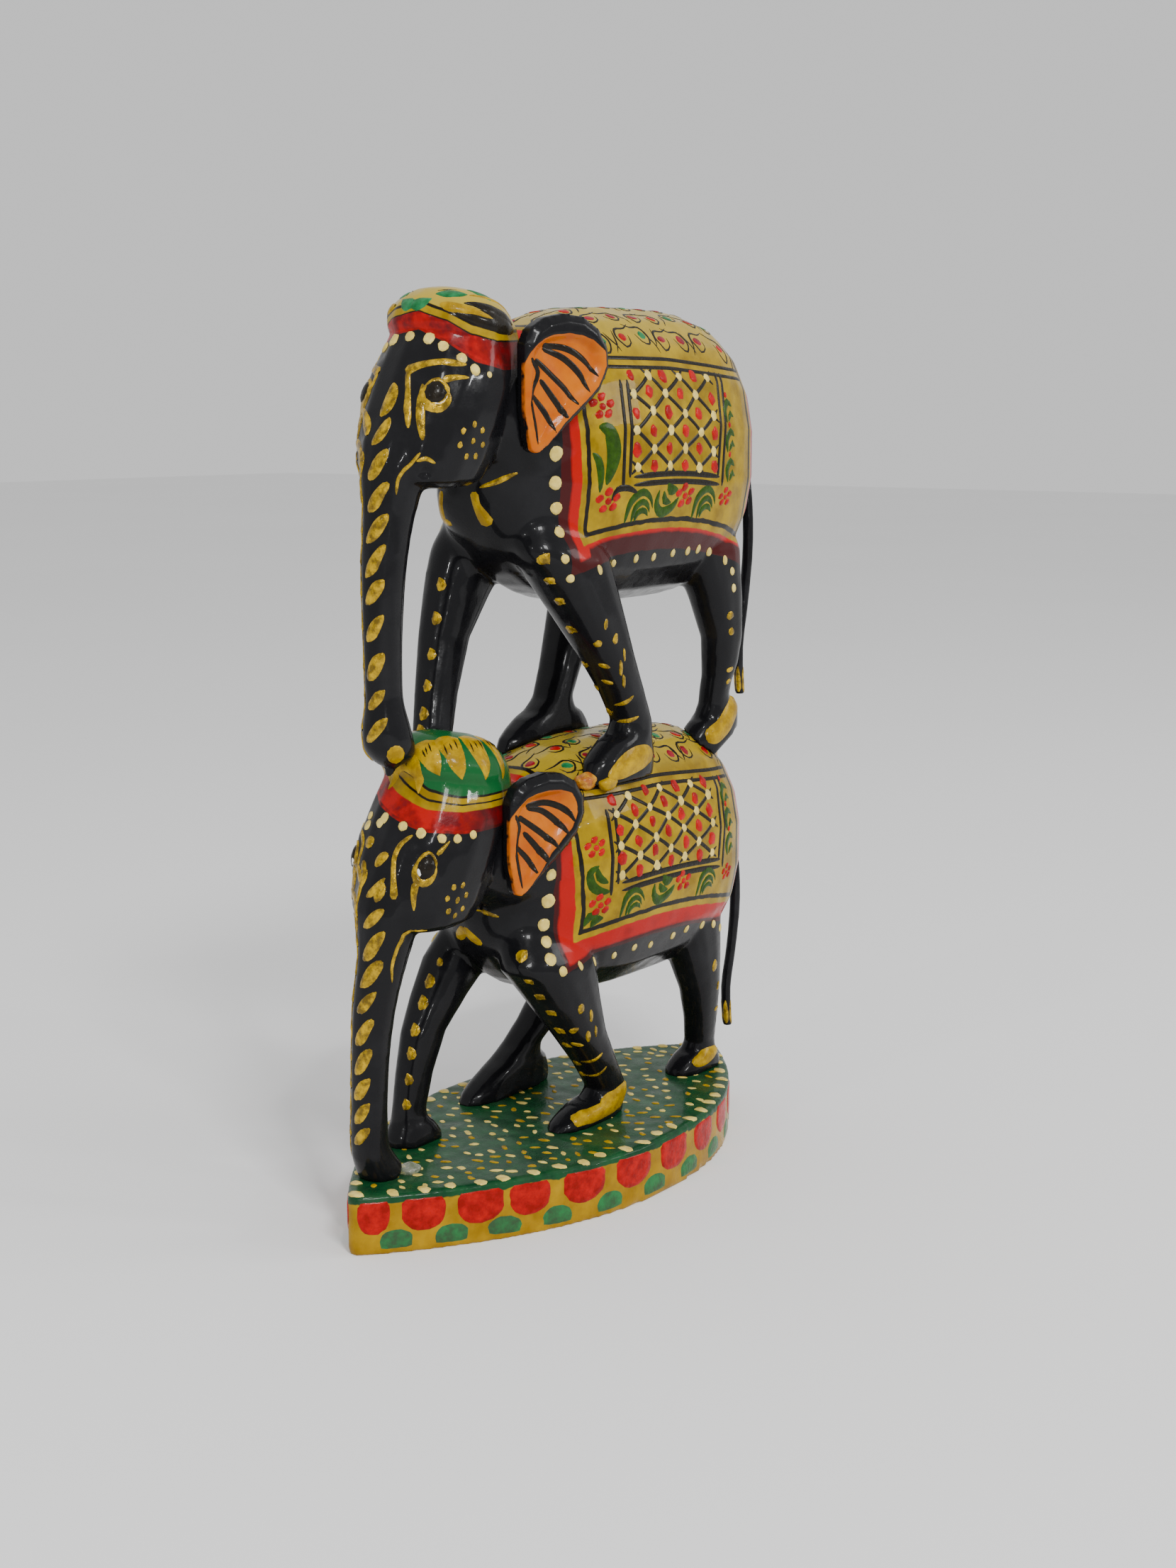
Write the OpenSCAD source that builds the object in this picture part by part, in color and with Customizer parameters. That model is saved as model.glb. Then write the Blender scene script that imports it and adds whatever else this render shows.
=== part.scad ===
// Two carved elephants, one standing on the back of the other, on a boat-shaped plinth.
// Heads point along -X, the left flanks face -Y, and +Z is up. Millimetres.
// The origin is the middle of the plinth's underside.

/* [Plinth] */
// Length of the plinth's outline before its tips are blunted
plinth_len = 107; // [100:1:128]
// Width of the plinth at its middle
plinth_wid = 48.6; // [42:0.2:58]
// Thickness of the plinth
plinth_thk = 10; // [8:0.5:13]
// How much of each sharp tip is cut away
tip_cut = 1; // [0.5:0.25:3]

/* [Bodies] */
// Length of the lower barrel, chest to rump
lower_torso_len = 71; // [60:1:84]
// Length of the upper barrel, chest to rump
upper_torso_len = 74; // [62:1:86]
// Width of each barrel
torso_wid = 34.4; // [29:0.2:40]
// Height of the lower barrel, belly to back
lower_torso_high = 46; // [38:0.5:54]
// Height of the upper barrel, belly to back
upper_torso_high = 51; // [42:0.5:60]
// Clear height under the lower belly
lower_belly_clear = 22; // [18:0.5:27]
// Clear height between the lower back and the upper belly
upper_belly_clear = 23; // [19:0.5:28]

/* [Limbs] */
// Thickness of a leg at its ankle
ankle_dia = 6.2; // [5.2:0.2:7.4]
// Thickness of a leg where it enters the body
thigh_dia = 12; // [10:0.5:14]
// Width of a foot
foot_wid = 7.6; // [6.4:0.2:9]
// Thickness of the trunk at its middle
trunk_dia = 6; // [5:0.2:7.2]

/* [Head] */
// Width of the head across the cheeks
head_wid = 22; // [18.4:0.4:26]
// Height of a lower ear
lower_ear_high = 20; // [16.8:0.4:24]
// Height of an upper ear
upper_ear_high = 22; // [18.4:0.4:26.4]
// Thickness of an ear
ear_thk = 3.4; // [2.8:0.1:4.2]

/* [Tail] */
// Thickness of a tail
tail_dia = 1.8; // [1.5:0.1:2.2]

/* [Joinery] */
// Diameter of the pegs in the feet
foot_peg_dia = 2.6; // [2:0.1:3.2]
// Diameter of the peg in the lower trunk's end
trunk_peg_dia = 2; // [1.6:0.1:2.4]
// How far a peg goes into each of the two pieces it joins
peg_depth = 4.5; // [3.5:0.5:5.5]
// Gap all round a peg, a tail or an ear in its seat
glue_gap = 0.1; // [0.05:0.05:0.2]

/* [Hidden] */

chest_x = -23.5;        // front of both barrels
boxiness = 2.3;         // exponent of a barrel's ring, where 2 is an ellipse
chest_fullness = 2.6;   // exponent that keeps a barrel full towards the chest
rump_fullness = 4.6;     // the same towards the rump
half_wid = torso_wid / 2;
lower_belly_z = plinth_thk + lower_belly_clear;
lower_back_z = lower_belly_z + lower_torso_high;
upper_belly_z = lower_back_z + upper_belly_clear;

// A barrel is [middle x, middle z, half length, half height]
lower_barrel = [chest_x + lower_torso_len / 2, lower_belly_z + lower_torso_high / 2,
                lower_torso_len / 2, lower_torso_high / 2];
upper_barrel = [chest_x + upper_torso_len / 2, upper_belly_z + upper_torso_high / 2,
                upper_torso_len / 2, upper_torso_high / 2];

// Under the middle of each skull
lower_chin = [-31, 0, lower_barrel[1] - 3.5];
upper_chin = [-28, 0, upper_barrel[1] - 4.5];

// ---------- curves ----------

// Point at t between b and c on a smooth curve through a, b, c and d
function ease(a, b, c, d, t) =
    0.5 * (2 * b + (c - a) * t + (2 * a - 5 * b + 4 * c - d) * t * t
           + (3 * b - a - 3 * c + d) * t * t * t);

// The stations of a loft with extra ones between them, on a smooth curve
function smooth(p, steps) = let (n = len(p)) concat(
    [for (i = [0:n - 2], k = [0:steps - 1])
        ease(p[max(i - 1, 0)], p[i], p[i + 1], p[min(i + 2, n - 1)], k / steps)],
    [p[n - 1]]);

function mix(a, b, t) = a + (b - a) * t;

function power(v, e) = sign(v) * pow(abs(v), e);

// One ring square to the direction [dx, dz]; a station is [x, y, z, half width, half depth]
function ring(s, dx, dz, sides, squareness) = let (size = norm([dx, dz])) [
    for (j = [0:sides - 1]) let (
        a = 360 * (j + 0.5) / sides,
        across = s[3] * power(cos(a), 2 / squareness),
        deep = s[4] * power(sin(a), 2 / squareness))
    [s[0] - deep * dz / size, s[1] + across, s[2] + deep * dx / size]];

// Solid skin over rings along a path, square to it in the XZ plane or, if level, horizontal
module loft(stations, sides = 16, squareness = 2, steps = 3, level = false) {
    p = smooth(stations, steps);
    n = len(p);
    rings = [for (i = [0:n - 1]) let (
        along = p[min(i + 1, n - 1)] - p[max(i - 1, 0)])
        ring(p[i], level ? 0 : along[0], level ? 1 : along[2], sides, squareness)];
    walls = [for (i = [0:n - 2], j = [0:sides - 1]) let (
        k = (j + 1) % sides,
        a = i * sides,
        b = a + sides)
        each [[a + j, b + j, b + k], [a + j, b + k, a + k]]];
    first = [for (j = [0:sides - 1]) j];
    last = [for (j = [sides - 1:-1:0]) (n - 1) * sides + j];
    polyhedron([for (r = rings) each r], concat(walls, [first, last]), convexity = 6);
}

// ---------- barrel ----------

// Share of the barrel's full section that is left at x
function fullness(b, x) = let (e = x < b[0] ? chest_fullness : rump_fullness)
    pow(1 - pow(min(abs(x - b[0]) / b[2], 1), e), 0.48);

// Height of a barrel's back above its middle at a place in plan
function back_rise(b, x, y) = let (k = fullness(b, x))
    k * b[3] * pow(1 - pow(min(abs(y) / (k * half_wid), 1), boxiness), 1 / boxiness);

module barrel(b) {
    slices = 22;
    loft([for (i = [0:slices]) let (
        x = b[0] - b[2] * cos(4 + 172 * i / slices),
        k = fullness(b, x))
        [x, 0, b[1], k * half_wid, k * b[3]]], 20, boxiness, 1);
}

// ---------- legs ----------

trim_allowance = 2;     // how far a leg is carved past its sole before it is cut to fit

// A leg is [sole, ankle, knee, hip, reach, bulk]: its middle at four heights, as [x, y, z],
// half the length of the foot, and its thickness as a share of the named sizes.
// It starts a little under the sole and is trimmed later.
module leg(spec) {
    sole = spec[0];
    ankle = spec[1];
    knee = spec[2];
    hip = spec[3];
    reach = spec[4];
    ankle_r = spec[5] * ankle_dia / 2;
    thigh_r = spec[5] * thigh_dia / 2;
    foot_r = foot_wid / 2;
    knee_r = mix(ankle_r, thigh_r, 0.3);
    loft([
        concat(sole - [0, 0, trim_allowance], [foot_r, reach]),
        concat(mix(sole, ankle, 0.2), [foot_r, 0.95 * reach]),
        concat(mix(sole, ankle, 0.6), [mix(foot_r, ankle_r, 0.5), 0.66 * reach]),
        concat(ankle, [ankle_r, 1.12 * ankle_r]),
        concat(knee, [knee_r, 1.2 * knee_r]),
        concat(mix(knee, hip, 0.75), [0.95 * thigh_r, 1.35 * thigh_r]),
        concat(hip, [0.9 * thigh_r, 1.5 * thigh_r]),
        concat(hip + [0, -0.35 * hip[1], 7], [0.6 * thigh_r, 0.9 * thigh_r])
    ], 16, 2.6, 2, true);
}

// The legs of the lower elephant: near front, near rear, far front, far rear
lower_legs = [
    [[-0.5, -7.4, plinth_thk], [4.8, -8.6, plinth_thk + 5.6],
     [-5, -10, plinth_thk + 18], [-13, -8.8, lower_belly_z + 11], 9.5, 1.05],
    [[36.5, -6, plinth_thk], [38, -6.8, plinth_thk + 5.6],
     [34.5, -9, plinth_thk + 17], [29.5, -9, lower_belly_z + 11], 7, 0.85],
    [[-26, 9.8, plinth_thk], [-27, 10, plinth_thk + 6],
     [-23.5, 9.6, plinth_thk + 19], [-13, 8.6, lower_belly_z + 11], 5.6, 0.85],
    [[4, 14.5, plinth_thk], [9, 13.6, plinth_thk + 8.5],
     [17, 11.6, plinth_thk + 17], [27, 9.2, lower_belly_z + 11], 12, 1.05]];

// A place on the lower back, just under its skin
function seat(x, y) = [x, y, lower_barrel[1] + back_rise(lower_barrel, x, y) - 0.4];

// The far front foot stands on the nape, behind the lower headdress
upper_soles = [seat(4.5, -11), seat(38.7, -7.5) + [0, 0, 1],
               [-22, 6.4, lower_chin[2] + 21], seat(9, 8.5)];
upper_legs = [
    [upper_soles[0], upper_soles[0] + [4.5, 0, 8],
     [1, -11.6, mix(lower_back_z, upper_belly_z, 0.65)], [-9.5, -9, upper_belly_z + 11], 9, 1.05],
    [upper_soles[1], upper_soles[1] + [0.5, -1, 6.5],
     [39.6, -9.8, mix(lower_back_z, upper_belly_z, 0.65)], [34.5, -9, upper_belly_z + 10], 7.6, 0.85],
    [upper_soles[2], upper_soles[2] + [-2, 0, 7],
     [-17, 9.4, mix(lower_back_z, upper_belly_z, 0.8)], [-9, 8.8, upper_belly_z + 12], 6, 0.95],
    [upper_soles[3], upper_soles[3] + [3, 0, 8],
     [20, 10.4, mix(lower_back_z, upper_belly_z, 0.75)], [28.5, 9.2, upper_belly_z + 11], 12.5, 1.05]];

// ---------- head ----------

module skull(chin) {
    cheek = head_wid / 2;
    translate(chin) loft([
        [-5, 0, 0.2, 0.5 * cheek, 5],
        [-5, 0, 1.5, 0.8 * cheek, 10],
        [-3.2, 0, 7, 0.93 * cheek, 12],
        [-1.2, 0, 12.5, cheek, 12.3],
        [1.5, 0, 18, cheek, 12.2],
        [3.2, 0, 23, 0.9 * cheek, 11],
        [3.8, 0, 27, 0.76 * cheek, 9],
        [4, 0, 29.6, 0.4 * cheek, 5]
    ], 18, 2.2, 2, true);
}

// Raised cushion of the headdress
module headdress(chin) {
    brim = head_wid / 2 * 0.9;
    translate(chin) loft([
        [2.2, 0, 22.6, 0.8 * brim, 8],
        [2.4, 0, 23.6, brim, 10],
        [2.8, 0, 25.6, 1.02 * brim, 10.2],
        [3.4, 0, 28, 0.9 * brim, 9],
        [3.8, 0, 30, 0.66 * brim, 6.8],
        [4, 0, 31, 0.3 * brim, 3.2]
    ], 18, 2.1, 2);
}

module neck(chin, b) {
    thick = head_wid / 2;
    loft([
        [chin[0] + 2, 0, chin[2] + 14, 0.82 * thick, 8.6],
        [chin[0] + 8, 0, chin[2] + 12.6, 1.06 * thick, 10.4],
        [chest_x + 10, 0, b[1] + 5.6, 0.78 * half_wid, 0.55 * b[3]],
        [chest_x + 20, 0, b[1] + 3, 0.9 * half_wid, 0.8 * b[3]]
    ], 18, 2.3, 4);
}

// A trunk hangs from the skull; drop is its height, and foot = [x, y] of its lower end
module trunk(chin, drop, foot) {
    r = trunk_dia / 2;
    translate(chin) loft([
        [-4.6, 0, 12.6, 7.4, 7.3],
        [-10.8, 0, 5.4, 5.9, 5.5],
        [-13, 0, -0.08 * drop, 1.35 * r, 1.3 * r],
        [-14.4, mix(0, foot[1], 0.3), -0.28 * drop, 1.15 * r, 1.12 * r],
        [-14.8, mix(0, foot[1], 0.55), -0.5 * drop, r, r],
        [mix(-14.8, foot[0], 0.03), mix(0, foot[1], 0.75), -0.72 * drop, 0.97 * r, 0.97 * r],
        [mix(-14.8, foot[0], 0.28), foot[1], -0.88 * drop, 1.04 * r, 1.04 * r],
        [foot[0], foot[1], -drop, 1.2 * r, 1.2 * r]
    ], 14, 2.3, 3);
}

// ---------- ears ----------

ear_turn = 14;          // degrees that an ear's rear edge stands out from its hinge side

// Outline of an ear as a fan, hinge side near x = 0, for a height of 1
fan = [
    [0.06, 0.02], [0, 0.3], [0, 0.78], [0.07, 0.9], [0.19, 0.97], [0.36, 1], [0.54, 0.98],
    [0.68, 0.9], [0.77, 0.76], [0.78, 0.62], [0.7, 0.46], [0.54, 0.32], [0.36, 0.18],
    [0.2, 0.05], [0.12, 0]];

// The lower end of an ear's hinge side on the left flank
lower_hinge = [lower_chin[0] + 4.5, -head_wid / 2 + 0.6, lower_chin[2] + 4.5];
upper_hinge = [upper_chin[0] + 5.5, -head_wid / 2 + 0.2, upper_chin[2] + 5.5];

// Carries an outline onto the plane of an ear's seat, where it grows outwards
module on_flank(hinge, right, thick) {
    mirror([0, right ? 1 : 0, 0]) translate(hinge) rotate([0, 0, -ear_turn]) rotate([90, 0, 0])
        linear_extrude(thick) children();
}

module ear(hinge, high, right) color("darkorange")
    on_flank(hinge, right, ear_thk) polygon(high * fan);

module ear_seats(hinge, high) {
    for (right = [false, true])
        on_flank(hinge, right, half_wid) offset(delta = glue_gap) polygon(high * fan);
}

// ---------- tails ----------

// Where a tail enters the rump, on a straight stub along X
function tail_root(b) = [b[0] + 0.93 * b[2], 0, b[1] + 0.42 * b[3]];

module tail_hole(b, r) {
    translate(tail_root(b)) translate([-peg_depth, 0, 0]) rotate([0, 90, 0])
        cylinder(r = r, h = peg_depth + b[2], $fn = 32);
}

// The strip hangs clear of the rump and swings to the left; hang is its height
module tail(b, hang) color("#1b1b1f") {
    root = tail_root(b);
    r = tail_dia / 2;
    out = b[0] + b[2] + r + 0.2 - root[0];
    translate(root) loft([
        [-peg_depth, 0, 0, r, r],
        [out - 2.4, 0, 0, r, r],
        [out - 0.6, -1.6, -2, 1.1 * r, r],
        [out - 0.2, -4.6, -0.12 * hang, 1.2 * r, r],
        [out - 0.6, -7.4, -0.28 * hang, 1.2 * r, r],
        [out - 1, -8.4, -0.48 * hang, 1.2 * r, r],
        [out - 1.6, -8, -0.68 * hang, 1.1 * r, r],
        [out - 3, -7.8, -0.84 * hang, 1.1 * r, r],
        [out - 2.6, -8, -hang, r, 0.9 * r]
    ], 12, 2, 3);
}

// ---------- pegs and their holes ----------

// Middles of the joints between foot and ground, a little towards the ankle
function peg_places(legs) = [for (g = legs) mix(g[0], g[1], 0.55) - [0, 0, 0.55 * (g[1] - g[0])[2]]];

module pegs(places, r, more = 0) {
    for (p = places)
        translate([p[0], p[1], p[2] - peg_depth - more])
            cylinder(r = r, h = 2 * (peg_depth + more), $fn = 32);
}

lower_trunk_foot = [-42, 2.8, plinth_thk];
upper_trunk_foot = [-40.2, 0, lower_chin[2] + 24.5];

hole_r = foot_peg_dia / 2 + glue_gap;
trunk_hole_r = trunk_peg_dia / 2 + glue_gap;

// ---------- pieces ----------

module plinth() color("darkgreen") {
    a = plinth_len / 2;
    b = plinth_wid / 2;
    end = a - tip_cut;
    steps = 40;
    side = [for (i = [0:steps]) let (x = -end + 2 * end * i / steps)
        [x, -b * (1 - pow(abs(x / a), x < 0 ? 2 : 2.4))]];
    far_side = [for (i = [steps:-1:0]) [side[i][0], -side[i][1]]];
    difference() {
        linear_extrude(plinth_thk) polygon(concat(side, far_side));
        pegs(peg_places(lower_legs), hole_r);
        pegs([lower_trunk_foot], trunk_hole_r);
    }
}

module lower_carving() {
    barrel(lower_barrel);
    neck(lower_chin, lower_barrel);
    skull(lower_chin);
    headdress(lower_chin);
    trunk(lower_chin, lower_chin[2] - plinth_thk,
          [lower_trunk_foot[0] - lower_chin[0], lower_trunk_foot[1]]);
    for (spec = lower_legs)
        leg(spec);
}

module upper_carving() {
    barrel(upper_barrel);
    neck(upper_chin, upper_barrel);
    skull(upper_chin);
    headdress(upper_chin);
    trunk(upper_chin, upper_chin[2] - upper_trunk_foot[2],
          [upper_trunk_foot[0] - upper_chin[0], upper_trunk_foot[1]]);
    for (spec = upper_legs)
        leg(spec);
}

// The lofts of one carving as a single skin
module one_skin() {
    resize([0, 0, 0]) union() children();
}

module lower_elephant() color("#1b1b1f") difference() {
    one_skin() difference() {
        lower_carving();
        translate([-plinth_len, -plinth_wid, 0]) cube([2 * plinth_len, 2 * plinth_wid, plinth_thk]);
        ear_seats(lower_hinge, lower_ear_high);
    }
    tail_hole(lower_barrel, tail_dia / 2 + glue_gap);
    pegs(peg_places(lower_legs), hole_r);
    pegs([lower_trunk_foot], trunk_hole_r);
    pegs(peg_places(upper_legs), hole_r);
}

module upper_elephant() color("#1b1b1f") difference() {
    one_skin() difference() {
        upper_carving();
        lower_carving();
        ear_seats(upper_hinge, upper_ear_high);
    }
    tail_hole(upper_barrel, tail_dia / 2 + glue_gap);
    pegs(peg_places(upper_legs), hole_r);
}

module plinth_foot_pegs() color("burlywood") pegs(peg_places(lower_legs), foot_peg_dia / 2);
module plinth_trunk_peg() color("burlywood") pegs([lower_trunk_foot], trunk_peg_dia / 2);
module back_foot_pegs() color("burlywood") pegs(peg_places(upper_legs), foot_peg_dia / 2);

plinth();
lower_elephant();
upper_elephant();
ear(lower_hinge, lower_ear_high, false);  // lower_left_ear
ear(lower_hinge, lower_ear_high, true);  // lower_right_ear
ear(upper_hinge, upper_ear_high, false);  // upper_left_ear
ear(upper_hinge, upper_ear_high, true);  // upper_right_ear
tail(lower_barrel, 48);  // lower_tail
tail(upper_barrel, 56);  // upper_tail
plinth_foot_pegs();
plinth_trunk_peg();
back_foot_pegs();
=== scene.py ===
"""Looks of the stacked elephants: carved skins, brushed enamel and a lacquered plinth."""

import math
import random

import bpy
import numpy as np
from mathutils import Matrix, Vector
from mathutils.bvhtree import BVHTree


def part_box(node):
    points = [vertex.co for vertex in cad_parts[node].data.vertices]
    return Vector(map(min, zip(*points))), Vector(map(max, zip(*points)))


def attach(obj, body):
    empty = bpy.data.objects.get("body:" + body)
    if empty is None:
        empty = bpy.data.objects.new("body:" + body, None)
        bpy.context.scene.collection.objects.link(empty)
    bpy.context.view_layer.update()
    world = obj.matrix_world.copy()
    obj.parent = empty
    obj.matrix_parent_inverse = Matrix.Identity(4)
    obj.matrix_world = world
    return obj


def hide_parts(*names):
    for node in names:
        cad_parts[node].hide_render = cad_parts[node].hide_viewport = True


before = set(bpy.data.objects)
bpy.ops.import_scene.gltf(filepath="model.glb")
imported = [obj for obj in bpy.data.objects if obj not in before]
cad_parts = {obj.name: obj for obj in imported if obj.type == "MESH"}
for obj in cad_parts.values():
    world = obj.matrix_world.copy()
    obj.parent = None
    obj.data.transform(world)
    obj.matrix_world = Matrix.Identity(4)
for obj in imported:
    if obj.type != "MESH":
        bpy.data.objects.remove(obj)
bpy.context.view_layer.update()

MM = 0.001
RUB, RUB_BACK = 0.5, -0.51
SHEEN = 0.08
dice = random.Random(7)


# ---------- shaping by hand ----------

def ramp(value, low, high):
    """Rises smoothly from 0 at low to 1 at high."""
    share = np.clip((value - low) / (high - low), 0, 1)
    return share ** 2 * (3 - 2 * share)


def select_only(obj):
    bpy.ops.object.select_all(action="DESELECT")
    obj.select_set(True)
    bpy.context.view_layer.objects.active = obj


def apply_modifier(obj, kind, **settings):
    select_only(obj)
    modifier = obj.modifiers.new(kind.lower(), kind)
    for key, value in settings.items():
        setattr(modifier, key, value)
    bpy.ops.object.modifier_apply(modifier=modifier.name)


def copy_of_node(name, node):
    """A merged copy of a CAD node's mesh, which is then shaped further."""
    obj = bpy.data.objects.new(name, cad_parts[node].data.copy())
    bpy.context.scene.collection.objects.link(obj)
    select_only(obj)
    bpy.ops.object.mode_set(mode="EDIT")
    bpy.ops.mesh.select_all(action="SELECT")
    bpy.ops.mesh.remove_doubles(threshold=2e-6)
    bpy.ops.object.mode_set(mode="OBJECT")
    obj.data.materials.clear()
    return obj


def carve(name, node, grain, rounds):
    """Copies a CAD node, gives it an even skin of the given grain in mm, and rubs it smooth.

    Each round rubs in and then back out, so the copy doesn't shrink.
    """
    obj = copy_of_node(name, node)
    apply_modifier(obj, "REMESH", mode="VOXEL", voxel_size=grain * MM)
    for _ in range(rounds):
        apply_modifier(obj, "SMOOTH", factor=RUB, iterations=4)
        apply_modifier(obj, "SMOOTH", factor=RUB_BACK, iterations=4)
    apply_modifier(obj, "SMOOTH", factor=RUB, iterations=2)
    select_only(obj)
    bpy.ops.object.shade_smooth()
    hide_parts(node)
    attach(obj, "root")
    return obj


def places(obj):
    """Vertex places in mm."""
    out = np.empty(len(obj.data.vertices) * 3)
    obj.data.vertices.foreach_get("co", out)
    return out.reshape(-1, 3) / MM


def normals(obj):
    """Outward directions of the vertices."""
    out = np.empty(len(obj.data.vertices) * 3)
    obj.data.vertices.foreach_get("normal", out)
    return out.reshape(-1, 3)


def put(obj, where):
    """Moves the vertices to places in mm."""
    obj.data.vertices.foreach_set("co", (where * MM).ravel())
    obj.data.update()


def swell(obj, spots):
    """Pushes the skin out, or in, round each spot of (centre, radius, height) in mm."""
    where, out = places(obj), normals(obj)
    for centre, radius, height in spots:
        far = np.linalg.norm(where - np.array(centre), axis=1) / radius
        share = np.clip(1 - far * far, 0, 1) ** 2
        where = where + out * (share * height)[:, None]
    put(obj, where)


def ease(obj, spots, rounds):
    """Rubs the joints down: each spot is (centre, radius) in mm."""
    where = places(obj)
    group = obj.vertex_groups.new(name="joints")
    share = np.zeros(len(where))
    for centre, radius in spots:
        far = np.linalg.norm(where - np.array(centre), axis=1) / radius
        share = np.maximum(share, np.clip(1 - far * far, 0, 1) ** 0.5)
    for i in np.nonzero(share > 0.02)[0]:
        group.add([int(i)], float(share[i]), "REPLACE")
    apply_modifier(obj, "SMOOTH", factor=0.9, iterations=rounds, vertex_group="joints")
    obj.vertex_groups.clear()


def round_end(obj, chosen, low, high, lift):
    """Rounds a limb's end between two heights in mm, after raising its tip by lift."""
    dome = 3.8
    where = places(obj)
    pick = chosen(where) & (where[:, 2] < high)
    part = where[pick]
    part[:, 2] += lift * (high - part[:, 2]) / (high - low)
    middle = (part[:, :2].min(0) + part[:, :2].max(0)) / 2
    deep = np.clip((low + lift + dome - part[:, 2]) / dome, 0, 0.97)
    part[:, :2] = middle + (part[:, :2] - middle) * np.sqrt(1 - deep ** 2.2)[:, None]
    where[pick] = part
    put(obj, where)


def note(obj, name, values):
    """Writes one float for each vertex, which a paint reads."""
    slot = obj.data.attributes.new(name, "FLOAT", "POINT")
    slot.data.foreach_set("value", np.asarray(values, dtype=np.float32))


# ---------- paint mixing ----------

class Paint:
    """A material under construction: each call adds a node and returns its output."""

    def __init__(self, name):
        self.material = bpy.data.materials.new(name)
        self.material.use_nodes = True
        self.tree = self.material.node_tree
        self.shader = self.tree.nodes["Principled BSDF"]
        spot = self.add("ShaderNodeTexCoord").outputs["Object"]
        scale = self.add("ShaderNodeVectorMath", operation="SCALE")
        scale.inputs["Scale"].default_value = 1 / MM
        self.join(spot, scale.inputs[0])
        self.mm = scale.outputs[0]

    def add(self, kind, **settings):
        node = self.tree.nodes.new(kind)
        for key, value in settings.items():
            setattr(node, key, value)
        return node

    def join(self, value, socket):
        if isinstance(value, bpy.types.NodeSocket):
            self.tree.links.new(value, socket)
        else:
            socket.default_value = value

    def sum(self, operation, a, b=0.0, c=0.0):
        """One math node; c is read by MULTIPLY_ADD only."""
        node = self.add("ShaderNodeMath", operation=operation)
        for socket, value in zip(node.inputs, (a, b, c)):
            self.join(value, socket)
        return node.outputs[0]

    def between(self, value, low, high, to_low=0.0, to_high=1.0):
        """Maps low..high onto to_low..to_high and holds it there."""
        node = self.add("ShaderNodeMapRange")
        for socket, part in zip(node.inputs, (value, low, high, to_low, to_high)):
            self.join(part, socket)
        return node.outputs[0]

    def mottle(self, size, detail=2.0, rough=0.5, stretch=None):
        """Noise whose patches are about size mm across."""
        node = self.add("ShaderNodeTexNoise")
        node.inputs["Scale"].default_value = 1 / size
        node.inputs["Detail"].default_value = detail
        node.inputs["Roughness"].default_value = rough
        where = self.mm
        if stretch:
            mapping = self.add("ShaderNodeMapping")
            mapping.inputs["Scale"].default_value = stretch
            self.join(where, mapping.inputs["Vector"])
            where = mapping.outputs[0]
        self.join(where, node.inputs["Vector"])
        return node.outputs["Fac"]

    def noted(self, name):
        """A float that note() wrote on the vertices."""
        return self.add("ShaderNodeAttribute", attribute_name=name).outputs["Fac"]

    def axis(self, which):
        split = self.add("ShaderNodeSeparateXYZ")
        self.join(self.mm, split.inputs[0])
        return split.outputs[which]

    def mix(self, share, a, b):
        node = self.add("ShaderNodeMix", data_type="RGBA")
        self.join(share, node.inputs["Factor"])
        self.join(a, node.inputs["A"])
        self.join(b, node.inputs["B"])
        return node.outputs["Result"]

    def layers(self, value, ground, steps):
        """Ground colour, then each (limit, colour) where value is over the limit."""
        colour = ground
        for limit, layer in steps:
            edge = self.between(value, limit - 0.06, limit + 0.06)
            colour = self.mix(edge, colour, layer)
        return colour

    def finish(self, colour, roughness, coat=0.14, coat_rough=0.06, metal=0.0, relief=None):
        """Joins everything to the shader; relief is a height in mm."""
        self.join(colour, self.shader.inputs["Base Color"])
        self.join(roughness, self.shader.inputs["Roughness"])
        self.shader.inputs["Specular IOR Level"].default_value = SHEEN
        self.shader.inputs["Coat Weight"].default_value = coat
        self.shader.inputs["Coat Roughness"].default_value = coat_rough
        self.shader.inputs["Metallic"].default_value = metal
        if relief is not None:
            bump = self.add("ShaderNodeBump")
            bump.inputs["Strength"].default_value = 1.0
            bump.inputs["Distance"].default_value = MM
            self.join(relief, bump.inputs["Height"])
            self.join(bump.outputs[0], self.shader.inputs["Normal"])
        return self.material


BLACK = (0.006, 0.006, 0.007, 1)
DUSTY_BLACK = (0.020, 0.020, 0.023, 1)
YELLOW = (0.37, 0.240, 0.0, 1)
OLD_YELLOW = (0.20, 0.12, 0.0, 1)
# painted light: the pale yellow that the cloth's ground turns to towards the ridge, as where light falls from
# above
LIT_TOP_CREAM = (0.44, 0.325, 0.035, 1)
RED = (0.38, 0.002, 0.001, 1)
DEEP_RED = (0.12, 0.003, 0.005, 1)
MAROON = (0.045, 0.004, 0.004, 1)
GREEN = (0.006, 0.085, 0.020, 1)
LEAF = (0.012, 0.040, 0.0, 1)
DARK = (0.007, 0.0055, 0.004, 1)
GOLD = (0.56, 0.345, 0.0, 1)
OLD_GOLD = (0.14, 0.085, 0.002, 1)


def enamel(name, light, dark, patch=2.5, coat=0.14, metal=0.0, rough=0.3, bumpy=0.12):
    """Brushed enamel: one colour that is thinner and darker in patches."""
    p = Paint(name)
    blotch = p.between(p.mottle(patch, 3.0, 0.6), 0.38, 0.66)
    speck = p.between(p.mottle(0.35, 1.0), 0.62, 0.74)
    colour = p.mix(blotch, dark, light)
    colour = p.mix(p.sum("MULTIPLY", speck, 0.25), colour, dark)
    roughness = p.between(p.mottle(1.3), 0.3, 0.7, rough - 0.08, rough + 0.1)
    relief = p.sum("MULTIPLY", p.mottle(0.7, 2.0), bumpy)
    return p.finish(colour, roughness, coat, 0.08, metal, relief)


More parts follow.
